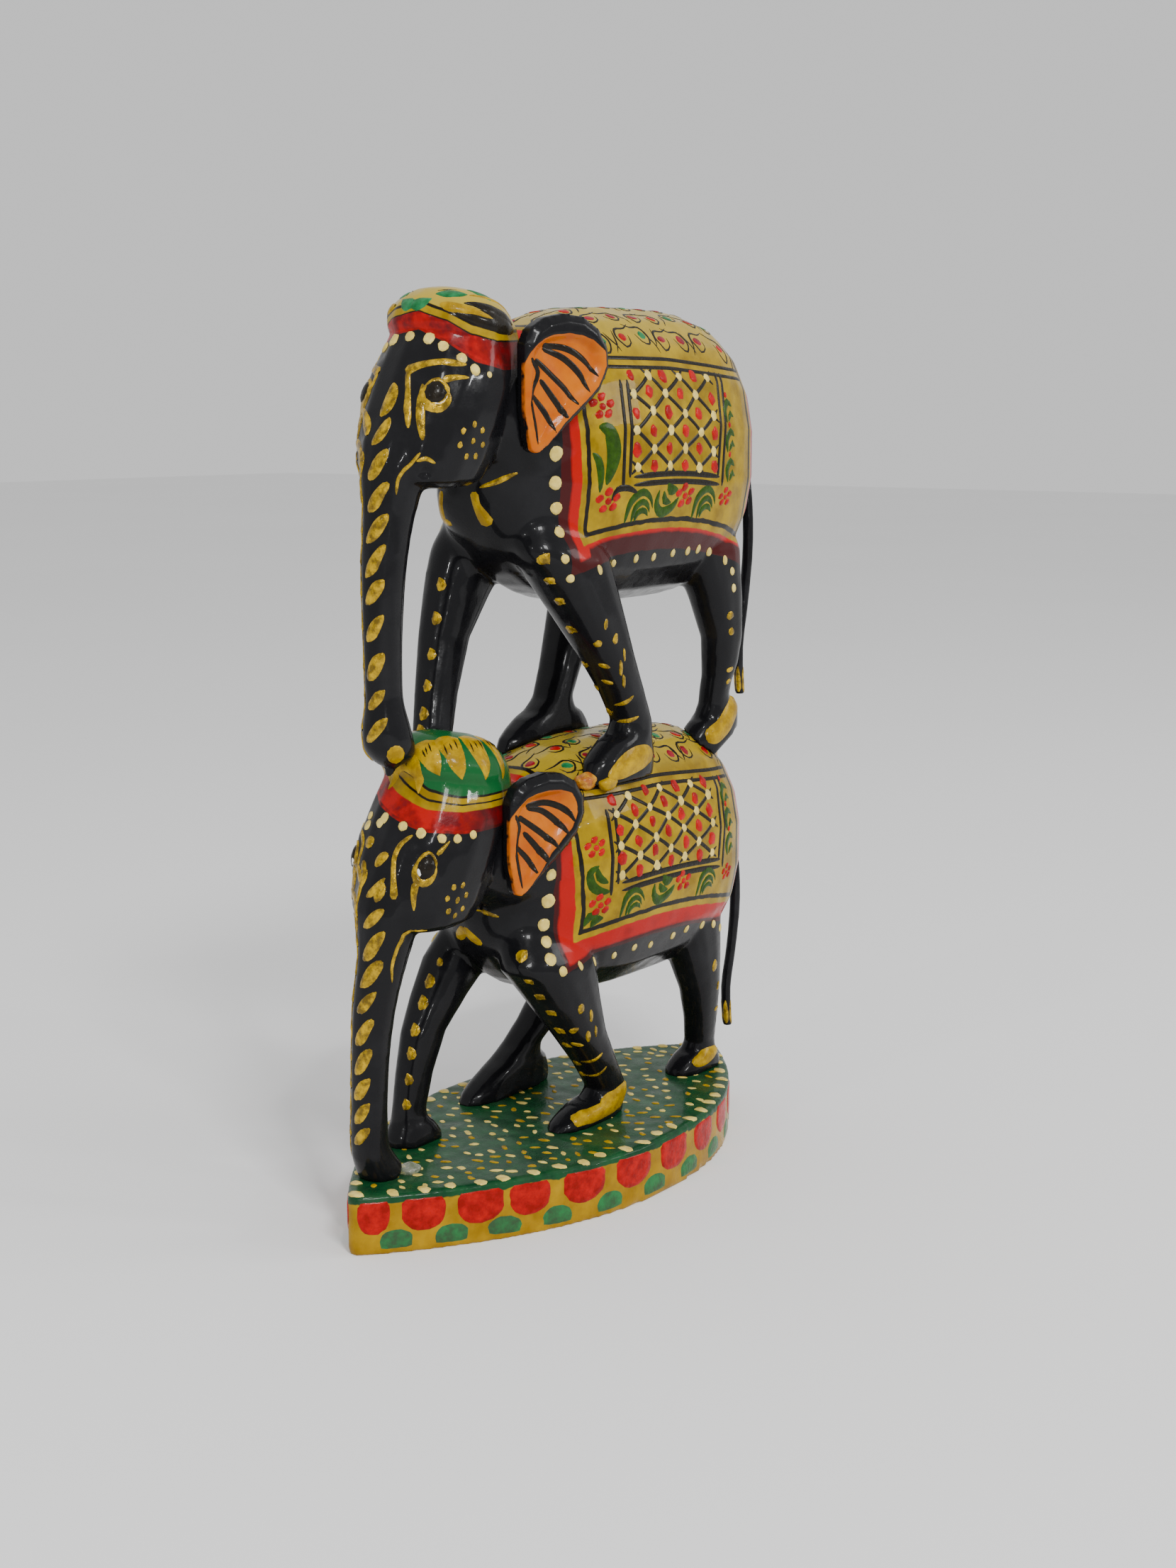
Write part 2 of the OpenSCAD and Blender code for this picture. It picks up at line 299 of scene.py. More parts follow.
def skin_relief(p, wave=0.35, fine=0.02):
    """Slow waves left by the knife under fine brush marks."""
    slow = p.sum("MULTIPLY", p.mottle(7.0, 1.0), wave)
    return p.sum("MULTIPLY_ADD", p.mottle(0.5, 2.0), fine, slow)


def lacquer(name, cap_steps, cap_under):
    """Black lacquer with the painted cloth and headdress. Reads the notes cloth, brow, cream (painted light)
    and wine.
    """
    p = Paint(name)
    wobble = p.sum("MULTIPLY_ADD", p.mottle(2.2, 2.0), 0.5, -0.25)
    cloth = p.sum("ADD", p.noted("cloth"), wobble)
    brow = p.sum("ADD", p.noted("brow"), p.sum("MULTIPLY", wobble, 0.6))
    patchy = p.between(p.mottle(5.0, 3.0, 0.6), 0.35, 0.68)
    gilt = p.mix(patchy, OLD_YELLOW, YELLOW)
    # painted light: the yellow ground pales towards the ridge by the note cream, as if lit from above; the
    # upper headdress's ground takes it too
    ground = p.mix(p.noted("cream"), gilt, LIT_TOP_CREAM)
    wine = p.between(p.sum("MULTIPLY_ADD", p.mottle(3.0, 3.0), 0.7, p.noted("wine")), 0.45, 0.95)
    band = p.mix(wine, RED, MAROON)
    dusty = p.between(p.mottle(9.0, 4.0, 0.65), 0.5, 0.8)
    black = p.mix(p.sum("MULTIPLY", dusty, 0.35), BLACK, DUSTY_BLACK)
    fringe = p.mix(p.between(p.mottle(1.5), 0.3, 0.8), band, MAROON)
    cloth_steps = [(-3.7, fringe), (-3.1, band), (0.0, gilt), (1.05, DARK), (1.9, ground)]
    colour = p.layers(cloth, black, cloth_steps)
    worn = p.mix(p.between(p.mottle(3.2, 3.0, 0.6), 0.38, 0.62), DEEP_RED, band)
    mixed = {"gilt": gilt, "ground": ground}
    steps = [(cap_under, fringe), (cap_under + 0.5, worn)]
    steps += [(limit, mixed.get(paint, paint)) for limit, paint in cap_steps]
    cap = p.layers(brow, black, steps)
    on_cap = p.between(brow, cap_under - 0.06, cap_under + 0.06)
    colour = p.mix(on_cap, colour, cap)
    roughness = p.between(p.mottle(1.6, 3.0), 0.3, 0.75, 0.16, 0.34)
    return p.finish(colour, roughness, 0.16, 0.04, 0.0, skin_relief(p))


# ---------- laying paint on a skin ----------

def smooth_path(points, step):
    """Points about step apart on a smooth curve through the given ones, each a numpy row."""
    pts = np.array(points, dtype=float)
    if len(pts) == 2:
        n = max(2, int(np.linalg.norm(pts[1, :3] - pts[0, :3]) / step))
        return np.linspace(pts[0], pts[1], n + 1)
    full = np.vstack([2 * pts[0] - pts[1], pts, 2 * pts[-1] - pts[-2]])
    out = []
    for i in range(1, len(full) - 2):
        a, b, c, d = full[i - 1:i + 3]
        n = max(1, int(round(np.linalg.norm(c[:3] - b[:3]) / step)))
        for t in np.arange(n) / n:
            out.append(0.5 * (2 * b + (c - a) * t + (2 * a - 5 * b + 4 * c - d) * t * t
                              + (3 * b - a - 3 * c + d) * t ** 3))
    out.append(full[-2])
    return np.array(out)


class Brush:
    """Lays strokes and dabs of raised enamel on one finished skin. All sizes are in mm."""

    PROFILE = ((-1, -0.35), (-0.62, 0.85), (0, 1.1), (0.62, 0.85), (1, -0.35))
    DROP = ((0.45, 1.0), (0.82, 0.75), (1.0, -0.3))

    def __init__(self, obj):
        self.where = places(obj)
        faces = [tuple(f.vertices) for f in obj.data.polygons]
        self.skin = BVHTree.FromPolygons([tuple(v) for v in self.where], faces)
        self.wet = {}

    def snap(self, point):
        """The nearest place on the skin, and the way out of it."""
        spot, out = self.skin.find_nearest(Vector(point))[:2]
        return np.array(spot), np.array(out)

    def from_side(self, x, z, side):
        """Where a line across the object at x and z first meets the skin, from side -1 or 1."""
        hit = self.skin.ray_cast(Vector((x, 70 * side, z)), Vector((0, -side, 0)))
        return None if hit[0] is None else np.array(hit[0])

    def from_above(self, x, y, high):
        """Where a line straight down at x and y first meets the skin."""
        hit = self.skin.ray_cast(Vector((x, y, high)), Vector((0, 0, -1)))
        return None if hit[0] is None else np.array(hit[0])

    def heap(self, colour):
        """The vertices and faces laid so far in one colour."""
        return self.wet.setdefault(colour, ([], []))

    def stroke(self, colour, points, width, lift=0.13, step=0.8):
        """A stroke through 3-D points; width is one number or one per point."""
        if any(p is None for p in points):
            return
        if np.isscalar(width):
            width = [width] * len(points)
        rows = smooth_path([list(p) + [w] for p, w in zip(points, width)], step)
        spots = [self.snap(r[:3]) for r in rows]
        mid = np.array([s[0] for s in spots])
        verts, faces = self.heap(colour)
        n = len(mid)
        for i in range(n):
            along = mid[min(i + 1, n - 1)] - mid[max(i - 1, 0)]
            across = np.cross(spots[i][1], along)
            size = np.linalg.norm(across)
            if size < 1e-6:
                across, size = np.array((1.0, 0, 0)), 1
            end = 0.45 if i in (0, n - 1) else 1
            half = max(rows[i][3], 0.08) * 0.5 * end
            for a, h in self.PROFILE:
                spot, out = self.snap(mid[i] + across / size * a * half)
                verts.append((spot + out * h * lift * min(1, end + 0.1)) * MM)
        base = len(verts) - 5 * n
        for i in range(n - 1):
            for k in range(4):
                a = base + 5 * i + k
                faces.append((a, a + 5, a + 6, a + 1))

    def dab(self, colour, centre, wide, high, turn=0.0, lift=0.2, shape=None, sides=10, rings=DROP):
        """A drop of paint, wide by high across, turned by degrees against the skin's upward line."""
        if centre is None:
            return
        spot, out = self.snap(centre)
        upward = np.array((0, 0, 1.0)) - out * out[2]
        if np.linalg.norm(upward) < 0.5:
            upward = np.array((1.0, 0, 0)) - out * out[0]
        upward /= np.linalg.norm(upward)
        sideways = np.cross(upward, out)
        c, s = math.cos(math.radians(turn)), math.sin(math.radians(turn))
        verts, faces = self.heap(colour)
        first = len(verts)
        verts.append((spot + out * lift * 1.05) * MM)
        for share, h in rings:
            for k in range(sides):
                angle = 2 * math.pi * k / sides
                reach = shape[k % len(shape)] if shape else 1
                u = math.cos(angle) * wide / 2 * reach * share
                v = math.sin(angle) * high / 2 * reach * share
                at = spot + sideways * (u * c - v * s) + upward * (u * s + v * c)
                skin, away = self.snap(at)
                verts.append((skin + away * h * lift) * MM)
        for k in range(sides):
            m = (k + 1) % sides
            faces.append((first, first + 1 + k, first + 1 + m))
            for r in range(len(rings) - 1):
                a = first + 1 + r * sides
                faces.append((a + k, a + sides + k, a + sides + m, a + m))

    def uneven(self, amount=0.12, sides=10):
        """A hand's small errors in a round shape."""
        return [1 + dice.uniform(-amount, amount) for _ in range(sides)]

    def dry(self, name):
        """Turns what was laid into one piece with a material for each colour."""
        verts, faces, which, kinds = [], [], [], []
        for colour, (v, f) in self.wet.items():
            base = len(verts)
            verts += [tuple(p) for p in v]
            faces += [tuple(base + i for i in face) for face in f]
            which += [len(kinds)] * len(f)
            kinds.append(PAINTS[colour])
        mesh = bpy.data.meshes.new(name)
        mesh.from_pydata(verts, [], faces)
        for kind in kinds:
            mesh.materials.append(kind)
        mesh.polygons.foreach_set("material_index", which)
        mesh.polygons.foreach_set("use_smooth", [True] * len(faces))
        mesh.update()
        obj = bpy.data.objects.new(name, mesh)
        bpy.context.scene.collection.objects.link(obj)
        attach(obj, "root")
        return obj


PAINTS = {
    "gold": enamel("gold_brushwork", GOLD, OLD_GOLD, 1.3, 0.35, 0.3, 0.26, 0.24),
    "gilt": enamel("yellow_brushwork", (0.46, 0.285, 0.0, 1), (0.26, 0.15, 0.0, 1), 2.0),
    "cream": enamel("cream_brushwork", (0.78, 0.62, 0.17, 1), (0.58, 0.43, 0.09, 1), 2.0),
    "red": enamel("red_brushwork", (0.46, 0.002, 0.001, 1), (0.24, 0.001, 0.001, 1), 2.0),
    "pink": enamel("rose_brushwork", (0.30, 0.010, 0.022, 1), (0.16, 0.004, 0.010, 1), 2.0),
    "green": enamel("green_brushwork", (0.02, 0.20, 0.07, 1), GREEN, 2.5),
    "leaf": enamel("leaf_brushwork", (0.024, 0.070, 0.001, 1), LEAF, 1.2),
    "dark": enamel("dark_brushwork", DARK, (0.012, 0.009, 0.005, 1), 1.5),
    "leafy": enamel("base_green_brushwork", (0.02, 0.16, 0.045, 1), (0.03, 0.075, 0.03, 1), 2.0),
    # white serves only the painted highlight in the lower elephant's eyes
    "white": enamel("white_brushwork", (0.85, 0.86, 0.84, 1), (0.6, 0.62, 0.62, 1), 2.0),
}


# ---------- one elephant ----------

def curve_through(xs, zs):
    """A parabola through three places, as a function of x."""
    poly = np.polyfit(xs, zs, 2)
    return lambda x: np.polyval(poly, x)


def slope_line(xs, zs):
    """Straight stretches through a few places, as a function of x."""
    return lambda x: np.interp(x, xs, zs)


class Elephant:
    """The places of one animal's paint and joints, in mm."""

    def __init__(self, **facts):
        self.__dict__.update(facts)


UPPER = Elephant(
    name="upper",
    front=slope_line([112, 128, 143, 156], [-9.2, -9.9, -10.6, -10.6]),
    hem=curve_through([-9, 9.4, 37], [112.2, 114.4, 111]),
    rear=41.0, top=142.9, top_fall=0.05, ridge=152.0, lit_top_from=143,
    wine_low=0.95, wine_back=32, wine_edge=1.5,
    joints=[(-15.8, 11.0, 115.0, 8), (-18.4, 4.0, 112.9, 7), (-12, 14, 113.5, 7)],
    head_mid=-26, head_end=-14.6,
    brim_turn=[-180, -130, -92, -62, -39, -9, 29, 62, 92, 130, 180],
    brim_high=[147, 145.4, 145.1, 146.1, 148.1, 149.7, 148.6, 146.1, 145.1, 145.4, 147],
    brim_deep=[1.45] * 11, brim_full=1.45,
    band_deep=[4.6, 4.6, 4.6, 4.4, 3.5, 3.0, 2.8, 4.4, 4.6, 4.6, 4.6], band_full=3.8,
    brow_under=-3.8,
    cap_steps=[(-0.25, DARK), (0.0, "gilt"), (1.1, DARK), (1.6, "ground")],
    frame=(1.2, 27.6), frame_dip=2.4, lattice=(2.8, 25.6, 124.9, 140.2, 6, 6),
    growth=1.0, blossom=(-0.4, 135.0, 1.0), low_blossom=(0.6, 4.6, 1.0),
    sprigs=[([(-1.7, 131.6), (0.4, 131), (1.5, 128.2), (1.1, 125.4), (-0.2, 122.2)], 1.9, "leaf"),
            ([(-3.1, 127.4), (-1.9, 126.2), (-1.4, 124), (-1.5, 121)], 0.9, "leaf"),
            ([(1.4, 119.5), (2.4, 121.3), (5, 121.5), (7.6, 120.6)], 0.6, "dark")],
    front_dots=[(-14.6, 127.4, 2.75), (-14.3, 122.7, 2.5), (-13.6, 118.6, 2.3), (-13.4, 114.7, 2.1),
                (-14.2, 110.5, 1.75), (-12.9, 107.2, 1.6)],
    hem_dots=[(-6.3, 108.3), (1.4, 108.8), (7.0, 109.3), (12.1, 109.3), (17.7, 109.7), (22.3, 109.8),
              (25.6, 110), (29.7, 109.3), (34.0, 107.6), (36.6, 105.4), (37.4, 102.3)],
    shoulder=(-14.8, 131.5),
    back_rows=[(2.9, 0.0), (7.4, 0.5), (11.6, 0.1)],
    trunk_back=-37.5, trunk_ends=(128, 79), trunk_tip=(-43.4, -2.8, 81.0),
    trunk_marks=[(136.0, 1.25), (131.2, 1.1), (126.2, 1.15), (121.2, 1.2), (116.4, 1.15), (111.4, 1.15),
                 (106.6, 1.1), (101.0, 1.15), (95.0, 1.25), (89.8, 0.9), (85.0, 0.9)])

LOWER = Elephant(
    name="lower",
    front=slope_line([45, 58, 70, 82], [-10.8, -11.4, -11.8, -11.8]),
    hem=curve_through([-11, 7, 33], [45.3, 46.8, 44.4]),
    rear=38.6, top=70.9, top_fall=0.06, ridge=78.0, lit_top_from=71,
    wine_low=0.1, wine_back=38, wine_edge=2.5,
    joints=[(-20.5, 6.2, 47.8, 6), (-15.0, 12.6, 45.7, 7), (-12, 15, 45, 6)],
    head_mid=-30, head_end=-17.8,
    brim_turn=[-180, -130, -92, -62, -31, 7, 40, 62, 92, 130, 180],
    brim_high=[71.5, 71.4, 71.2, 71.2, 71.8, 74.0, 76.2, 75.6, 74.0, 72.4, 71.5],
    brim_deep=[2.0, 2.0, 2.2, 2.4, 3.1, 4.8, 4.6, 4.0, 2.4, 2.0, 2.0], brim_full=3.2,
    band_deep=[3.4] * 11, band_full=3.4,
    brow_under=-3.4,
    cap_steps=[(0.0, "gilt"), (1.25, DARK), (1.6, "gilt"), (2.7, DARK), (3.2, GREEN)],
    frame=(-1.6, 29.5), frame_dip=2.4, lattice=(-0.6, 26.6, 56.0, 68.9, 7, 6),
    growth=0.88, blossom=(-0.1, 61.4, 0.85), low_blossom=(0.4, 3.6, 0.9),
    sprigs=[([(0.1, 58.2), (-1.7, 57.2), (-1.3, 55.0), (0.4, 53.8), (2.6, 53.4)], 1.0, "leaf"),
            ([(-0.3, 58.0), (0.2, 56.2), (2.2, 55.0)], 0.8, "leaf"),
            ([(-2.4, 48.0), (-1.6, 49.6), (0.2, 49.8)], 0.9, "leaf"),
            ([(-1.0, 47.6), (-0.2, 48.8), (1.4, 48.9)], 0.9, "leaf")],
    front_dots=[(-15.8, 53.4, 2.7), (-16.2, 49.3, 2.4), (-16.4, 46.5, 2.3), (-17.2, 43.9, 2.5),
                (-15.4, 41.6, 1.9)],
    hem_dots=[(-10.7, 41.6), (-5.5, 41.1), (0.5, 40.9), (5.6, 41.4), (10.8, 40.8), (17.6, 41.1),
              (21.7, 41.5), (27.5, 41.1), (31.6, 40.4), (35.0, 39.0)],
    shoulder=(-16.2, 58.0),
    back_rows=[(2.9, 0.0), (7.2, 0.5), (11.0, 0.2)],
    trunk_back=-40.0, trunk_ends=(62, 13), trunk_tip=None,
    trunk_marks=[(59.8, 0.75), (55.0, 0.9), (50.6, 1.2), (46.0, 1.2), (41.4, 1.0), (36.4, 1.1),
                 (31.4, 1.1), (26.8, 1.1), (22.6, 1.0), (18.6, 0.9)])


def note_regions(obj, e):
    """Signed distances from the cloth's and headdress's edges, painted light that pales the cloth towards the
    ridge, and how dark the red is.
    """
    where = places(obj)
    x, y, z = where.T
    away = np.minimum(np.minimum(x - e.front(z), z - e.hem(x)), e.rear - x)
    note(obj, "cloth", away)
    turn = np.degrees(np.arctan2(y, e.head_mid - x))
    above = z - np.interp(turn, e.brim_turn, e.brim_high)
    brim_share = e.brim_full / np.interp(turn, e.brim_turn, e.brim_deep)
    band_share = e.band_full / np.interp(turn, e.brim_turn, e.band_deep)
    share = np.where(above > 0, brim_share, band_share)
    note(obj, "brow", np.where(x < e.head_end, above * share, -9))
    # painted light: cream rises with height towards the ridge, so the top of the cloth is painted paler, as
    # where light falls from above
    rise = np.clip((z - e.lit_top_from) / (e.ridge - e.lit_top_from), 0, 1)
    note(obj, "cream", rise ** 0.8 * 0.85)
    low = np.clip(e.hem(x) - 0.2 - z, 0, 1) * e.wine_low * (x > e.front(z) + 1)
    behind = np.clip((x + e.wine_back) / 7, 0, 1) * (x < -14)
    edge = np.clip((-e.wine_edge - away) / 0.8, 0, 1) * 0.9
    note(obj, "wine", np.maximum(np.maximum(low, edge * (x > -17)), behind * 0.6))


def lay_cloth(brush, e, side):
    """The painted caparison on one flank: frame, lattice, flowers and scrolls."""
    left, right = e.frame

    def at(x, z):
        return brush.from_side(x, z, side)

    def line(spots, width):
        brush.stroke("dark", [at(*spot) for spot in spots], width, 0.07)

    def top(x):
        return e.top - e.top_fall * max(0, x - 14) ** 1.1

    def sill(x):
        return e.hem(x) + 0.31 * (e.top - e.hem(x)) + 0.4

    for below, start in ((0, 1.4), (1.495, 1.6)):
        xs = np.linspace(e.front(e.top) + start, e.rear - 1.8, 9)
        line([(x, top(x) - below) for x in xs], 0.8)
    for shift in (0, -1.35):
        xs = np.linspace(left + 0.6, right - 0.2, 8)
        line([(x, sill(x) + shift) for x in xs], [0.5] + [1.1] * 6 + [0.6])
    posts = ((left, 1.2, 0), (left - 1.7, 1.2, -1.6), (right, 2.4, 0), (right + 1.5, 2.6, -1.4))
    for x, lean, foot in posts:
        dip = e.frame_dip if x < left + 1 and side < 0 else 0
        high, low = top(x) - 1.2 - dip, sill(x) + foot
        line([(x - lean * 0.3, low), (x + 0.1 * lean, (high + low) / 2), (x + lean * 0.5, high)], 0.95)
    lay_lattice(brush, e, side, at, line)
    lay_garden(brush, e, at)
    lay_border_dots(brush, e, side, at)
    lay_back(brush, e, side)


def lay_lattice(brush, e, side, at, line):
    """Crossed lines with a cream dot on each crossing and a red one in each gap."""
    x0, x1, z0, z1, columns, rows = e.lattice
    rung = (z1 - z0) / (rows - 1)
    spots = {}
    for i in range(columns):
        for j in range(rows):
            x = x0 + (x1 - x0) * i / (columns - 1) + dice.uniform(-0.35, 0.35) + 0.06 * (j - 2)
            z = z0 + (z1 - z0) * j / (rows - 1) + dice.uniform(-0.3, 0.3) - 0.05 * max(0, x - 14)
            spots[i, j] = (x, z)
    crossings = {key: spot for key, spot in spots.items() if sum(key) % 2 == 0}
    for (i, j), (x, z) in crossings.items():
        for up in (1, -1):
            if (i + 1, j + up) in spots:
                end_x, end_z = spots[i + 1, j + up]
                line([(x, z), ((x + end_x) / 2 + 0.15, (z + end_z) / 2), (end_x, end_z)], 0.85)
        for along, up in ((-1, 1), (-1, -1), (1, 1), (1, -1)):
            if (i + along, j + up) not in spots:
                line([(x, z), (x + along * 1.6, z + up * 1.6 * rung / 4.4)], 0.7)
    for key, (x, z) in spots.items():
        if key in crossings:
            size = dice.uniform(1.5, 1.95)
            tall, turn = size * dice.uniform(0.95, 1.15), dice.uniform(-30, 30)
            brush.dab("cream", at(x, z), size, tall, turn, 0.2, brush.uneven())
        else:
            size = dice.uniform(1.55, 1.95)
            brush.dab("red", at(x, z), size * 1.25, size * 1.4, -20 * side, 0.14, brush.uneven(0.18))


def flower(brush, at, x, z, size=1.0):
    """Five red petals round a red eye."""
    for k in range(5):
        angle = math.radians(72 * k + 20 + dice.uniform(-10, 10))
        brush.dab("red", at(x + 1.95 * size * math.cos(angle), z + 1.5 * size * math.sin(angle)),
                  2.1 * size, 1.45 * size, 25, 0.15, brush.uneven(0.15))
    brush.dab("red", at(x + 0.1, z - 0.1), 1.6 * size, 1.3 * size, 0, 0.15)


def scroll(brush, at, x, z, size, turn=1):
    """Three nested arcs of leaf, thick in the middle and thin at both ends."""
    for reach, rise, shift, width in ((1.0, 1.0, 0, 1.0), (0.66, 0.66, 0.7, 0.85), (0.5, 0.36, 1.1, 0.8)):
        pts = []
        for t in (0, 0.3, 0.6, 0.85, 1):
            angle = math.pi * (1.02 - 0.86 * t)
            px = x + turn * size * (shift * 0.5 + 3.7 * reach * math.cos(angle))
            pz = z + size * 4.8 * rise * (math.sin(angle) if t < 0.9 else 0.42)
            pts.append(at(px, pz))
        brush.stroke("leaf", pts, [0.6 * size, 1.6 * width * size, 1.55 * width * size, 1.0 * size, 0.2], 0.1)


def leaf(brush, at, pts, width, colour="leaf"):
    """A stroke that swells in the middle."""
    n = len(pts)
    widths = [0.2 + 1.9 * width * math.sin(math.pi * min(1, (i + 0.5) / n)) ** 1.2 for i in range(n)]
    brush.stroke(colour, [at(*p) for p in pts], widths, 0.11)


def lay_garden(brush, e, at):
    """Flowers and leaves between the frame and the cloth's edge."""
    left, right = e.frame
    mid = (e.front(e.top) + left) / 2 + 0.2
    size = e.growth

    def bed(x):
        return e.hem(x) + 1.9

    x, z, petal = e.blossom
    flower(brush, at, mid + x, z, petal)
    for pts, width, colour in e.sprigs:
        leaf(brush, at, [(mid + x, z) for x, z in pts], width, colour)
    x, rise, petal = e.low_blossom
    flower(brush, at, mid + x, bed(mid) + rise, petal)
    # the bottom row
    start, span = left - 0.2, right - left
    for share, ground in ((0.13, 0), (0.86, 0.8)):
        scroll(brush, at, start + share * span, bed(start + ground * span) + 0.2, size)
    x, z = start + 0.40 * span, bed(start + 0.4 * span)
    leaf(brush, at, [(x - 2.6, z + 4.6 * size), (x - 2.9, z + 2.2), (x - 1.2, z + 0.8),
                     (x + 1.8, z + 1.6), (x + 3.4, z + 3.2 * size)], 1.0)
    leaf(brush, at, [(x - 1.2, z + 4.4 * size), (x - 0.6, z + 2.8), (x + 1.2, z + 2.4)], 0.8)
    leaf(brush, at, [(x - 0.2, z + 5.8 * size), (x + 0.8, z + 4.6 * size), (x + 2.8, z + 4.6 * size)], 1.1)
    flower(brush, at, start + 0.60 * span, z + 3.5 * size, size)
    flower(brush, at, right + 2.6, bed(right) + 4.2 * size, 0.8 * size)
    # up the rear column
    for k in range(3):
        x, z = right + 4.0 - 0.1 * k, bed(right) + 9 + 5.2 * k * size
        if z < e.top - 4:
            leaf(brush, at, [(x - 1.2, z - 2.2), (x - 1.5, z), (x - 0.2, z + 1.4), (x + 1.0, z + 0.6)], 0.75)
            leaf(brush, at, [(x - 0.6, z - 2.0), (x + 0.4, z - 0.6), (x + 1.2, z - 1.2)], 0.6)
            brush.dab("red", at(x - 0.6, z + 2.6), 0.8, 1.1, 0, 0.15, brush.uneven(0.2))


def lay_border_dots(brush, e, side, at):
    """Cream dots: round down the front, small ovals along the hem, and three over the shoulder."""
    for x, z, size in e.front_dots:
        brush.dab("cream", at(x, z), size * 0.98, size, 0, 0.3, brush.uneven(0.06, 12), 12)
    for x, z in e.hem_dots:
        wide, tall = dice.uniform(1.15, 1.4), dice.uniform(1.6, 2.0)
        brush.dab("cream", at(x, z), wide, tall, -18 * side, 0.2, brush.uneven(0.08))
    x, z = e.shoulder
    for k in range(3):
        brush.dab("cream", at(x, z + 4.4 * k), 2.3, 2.3, 0, 0.25, brush.uneven(0.08))


BEADS = ("pink", "green", "red", "pink", "green", "pink", "red")
LOOP = [(-3.4, -1.9), (-1.6, -1.3), (0.9, -1.3), (1.9, 0.1), (0.8, 1.35), (-0.9, 1.0), (-1.5, -0.2)]
LOOP_WIDTHS = [0.2, 0.42, 0.56, 0.52, 0.46, 0.36, 0.2]
CURL = [(2.6, 1.6), (3.6, 0.4), (4.3, -1.2)]
CURL_WIDTHS = [0.16, 0.48, 0.16]


def lay_back(brush, e, side):
    """Drop shapes in thin dark line with a coloured bead in each, on the pale top of the cloth."""
    begin = e.front(e.ridge)
    length = e.rear - begin
    n = 8
    for row, (out, start) in enumerate(e.back_rows):
        for k in range(n):
            x = begin + 3 + (length - 6) * (k + 0.2 + start) / n + dice.uniform(-0.7, 0.7)
            y = side * (out + dice.uniform(-0.5, 0.5))
            if x > e.rear - 3:
                continue
            flip = 1 if (k + row) % 2 else -1

            def place(dx, dy):
                return brush.from_above(x + dx, y + side * dy, e.ridge + 8)

            middle = place(0, 0)
            loop = [place(dx * flip, dy) for dx, dy in LOOP]
            if middle is None or middle[2] < e.top - 2 or any(p is None for p in loop):
                continue
            brush.stroke("dark", loop, LOOP_WIDTHS, 0.06)
            wide, tall, turn = dice.uniform(1.9, 2.4), dice.uniform(1.6, 2.2), dice.uniform(0, 90)
            bead = BEADS[(k * 2 + row) % 7]
            brush.dab(bead, place(0.3 * flip, 0), wide, tall, turn, 0.12, brush.uneven(0.15))
            if dice.random() < 0.85:
                brush.stroke("dark", [place(dx * flip, dy) for dx, dy in CURL], CURL_WIDTHS, 0.05)


def mirrored(point, side):
    """A place on the near side, -1, or its mirror on the far side, 1."""
    return (point[0], point[1] * -side, point[2])


def lay_face(brush, e, side):
    """Brow, eye, rosette, mouth, jaw line and neck pendant on one cheek."""
    f = FACES[e.name]
    apart = 3.0 if side > 0 else 0.0
    for colour, points, width in f["strokes"]:
        spread = [mirrored((x, y - apart * (abs(y) < 6), z), side) for x, y, z in points]
        brush.stroke(colour, spread, [1.3 * w for w in width], 0.16, 0.6)
    if side < 0:
        for points, width in f["once"]:
            brush.stroke("gold", points, width, 0.2, 0.5)
    lay_eye(brush, e, side, f)
    lay_rosette(brush, side, f)
    for x, y, z, size in f["dots"]:
        if side < 0 or y < -1:
            spot = mirrored((x, y, z), side)
            brush.dab("cream", spot, size, size * 1.05, 10, 0.25, brush.uneven(0.1))


def lay_eye(brush, e, side, f):
    """A dark eye in a gold ring, with a glint on the lower elephant."""
    centre = np.array(f["eye"])
    ring, heavy = [], []
    for k in range(13):
        angle = 2 * math.pi * k / 12
        almond = 1 + f["almond"] * math.cos(2 * (angle - math.radians(62)))
        across = f["eye_wide"] * math.cos(angle) * almond
        up = f["eye_high"] * math.sin(angle) * almond
        ring.append(mirrored(centre + np.array((0.62, -0.5, 0)) * across + np.array((0, 0, up)), side))
        heavy.append(f["eye_line"] * (1.25 - 0.55 * math.sin(angle + 0.6)))
    brush.dab("dark", mirrored(centre, side), f["eye_wide"] * 1.7, f["eye_high"] * 1.9, 0, 0.3)
    brush.stroke("gold", ring, heavy, 0.2, 0.5)
    if e is LOWER:
        # painted highlight: a small white dab beside the pupil of the lower elephant stands for a glint
        brush.dab("white", mirrored(centre + np.array((-0.9, 0.5, -0.6)), side), 0.7, 1.5, 12, 0.3)


def lay_rosette(brush, side, f):
    """Seven gold dots round an eighth."""
    x, _, z = f["rosette"]
    shifts = []
    for k in range(7):
        angle = math.radians(360 / 7 * k + 90 + f["rosette_turn"])
        shifts.append((f["rosette_wide"] * math.cos(angle), 2.6 * math.sin(angle)))
    for dx, dz in shifts + [(0.0, 0.0)]:
        found = brush.from_side(x + dx, z + dz, -1)
        if found is not None:
            brush.dab("gold", mirrored(found, side), 0.95, 1.15, -15, 0.16, brush.uneven(0.15))


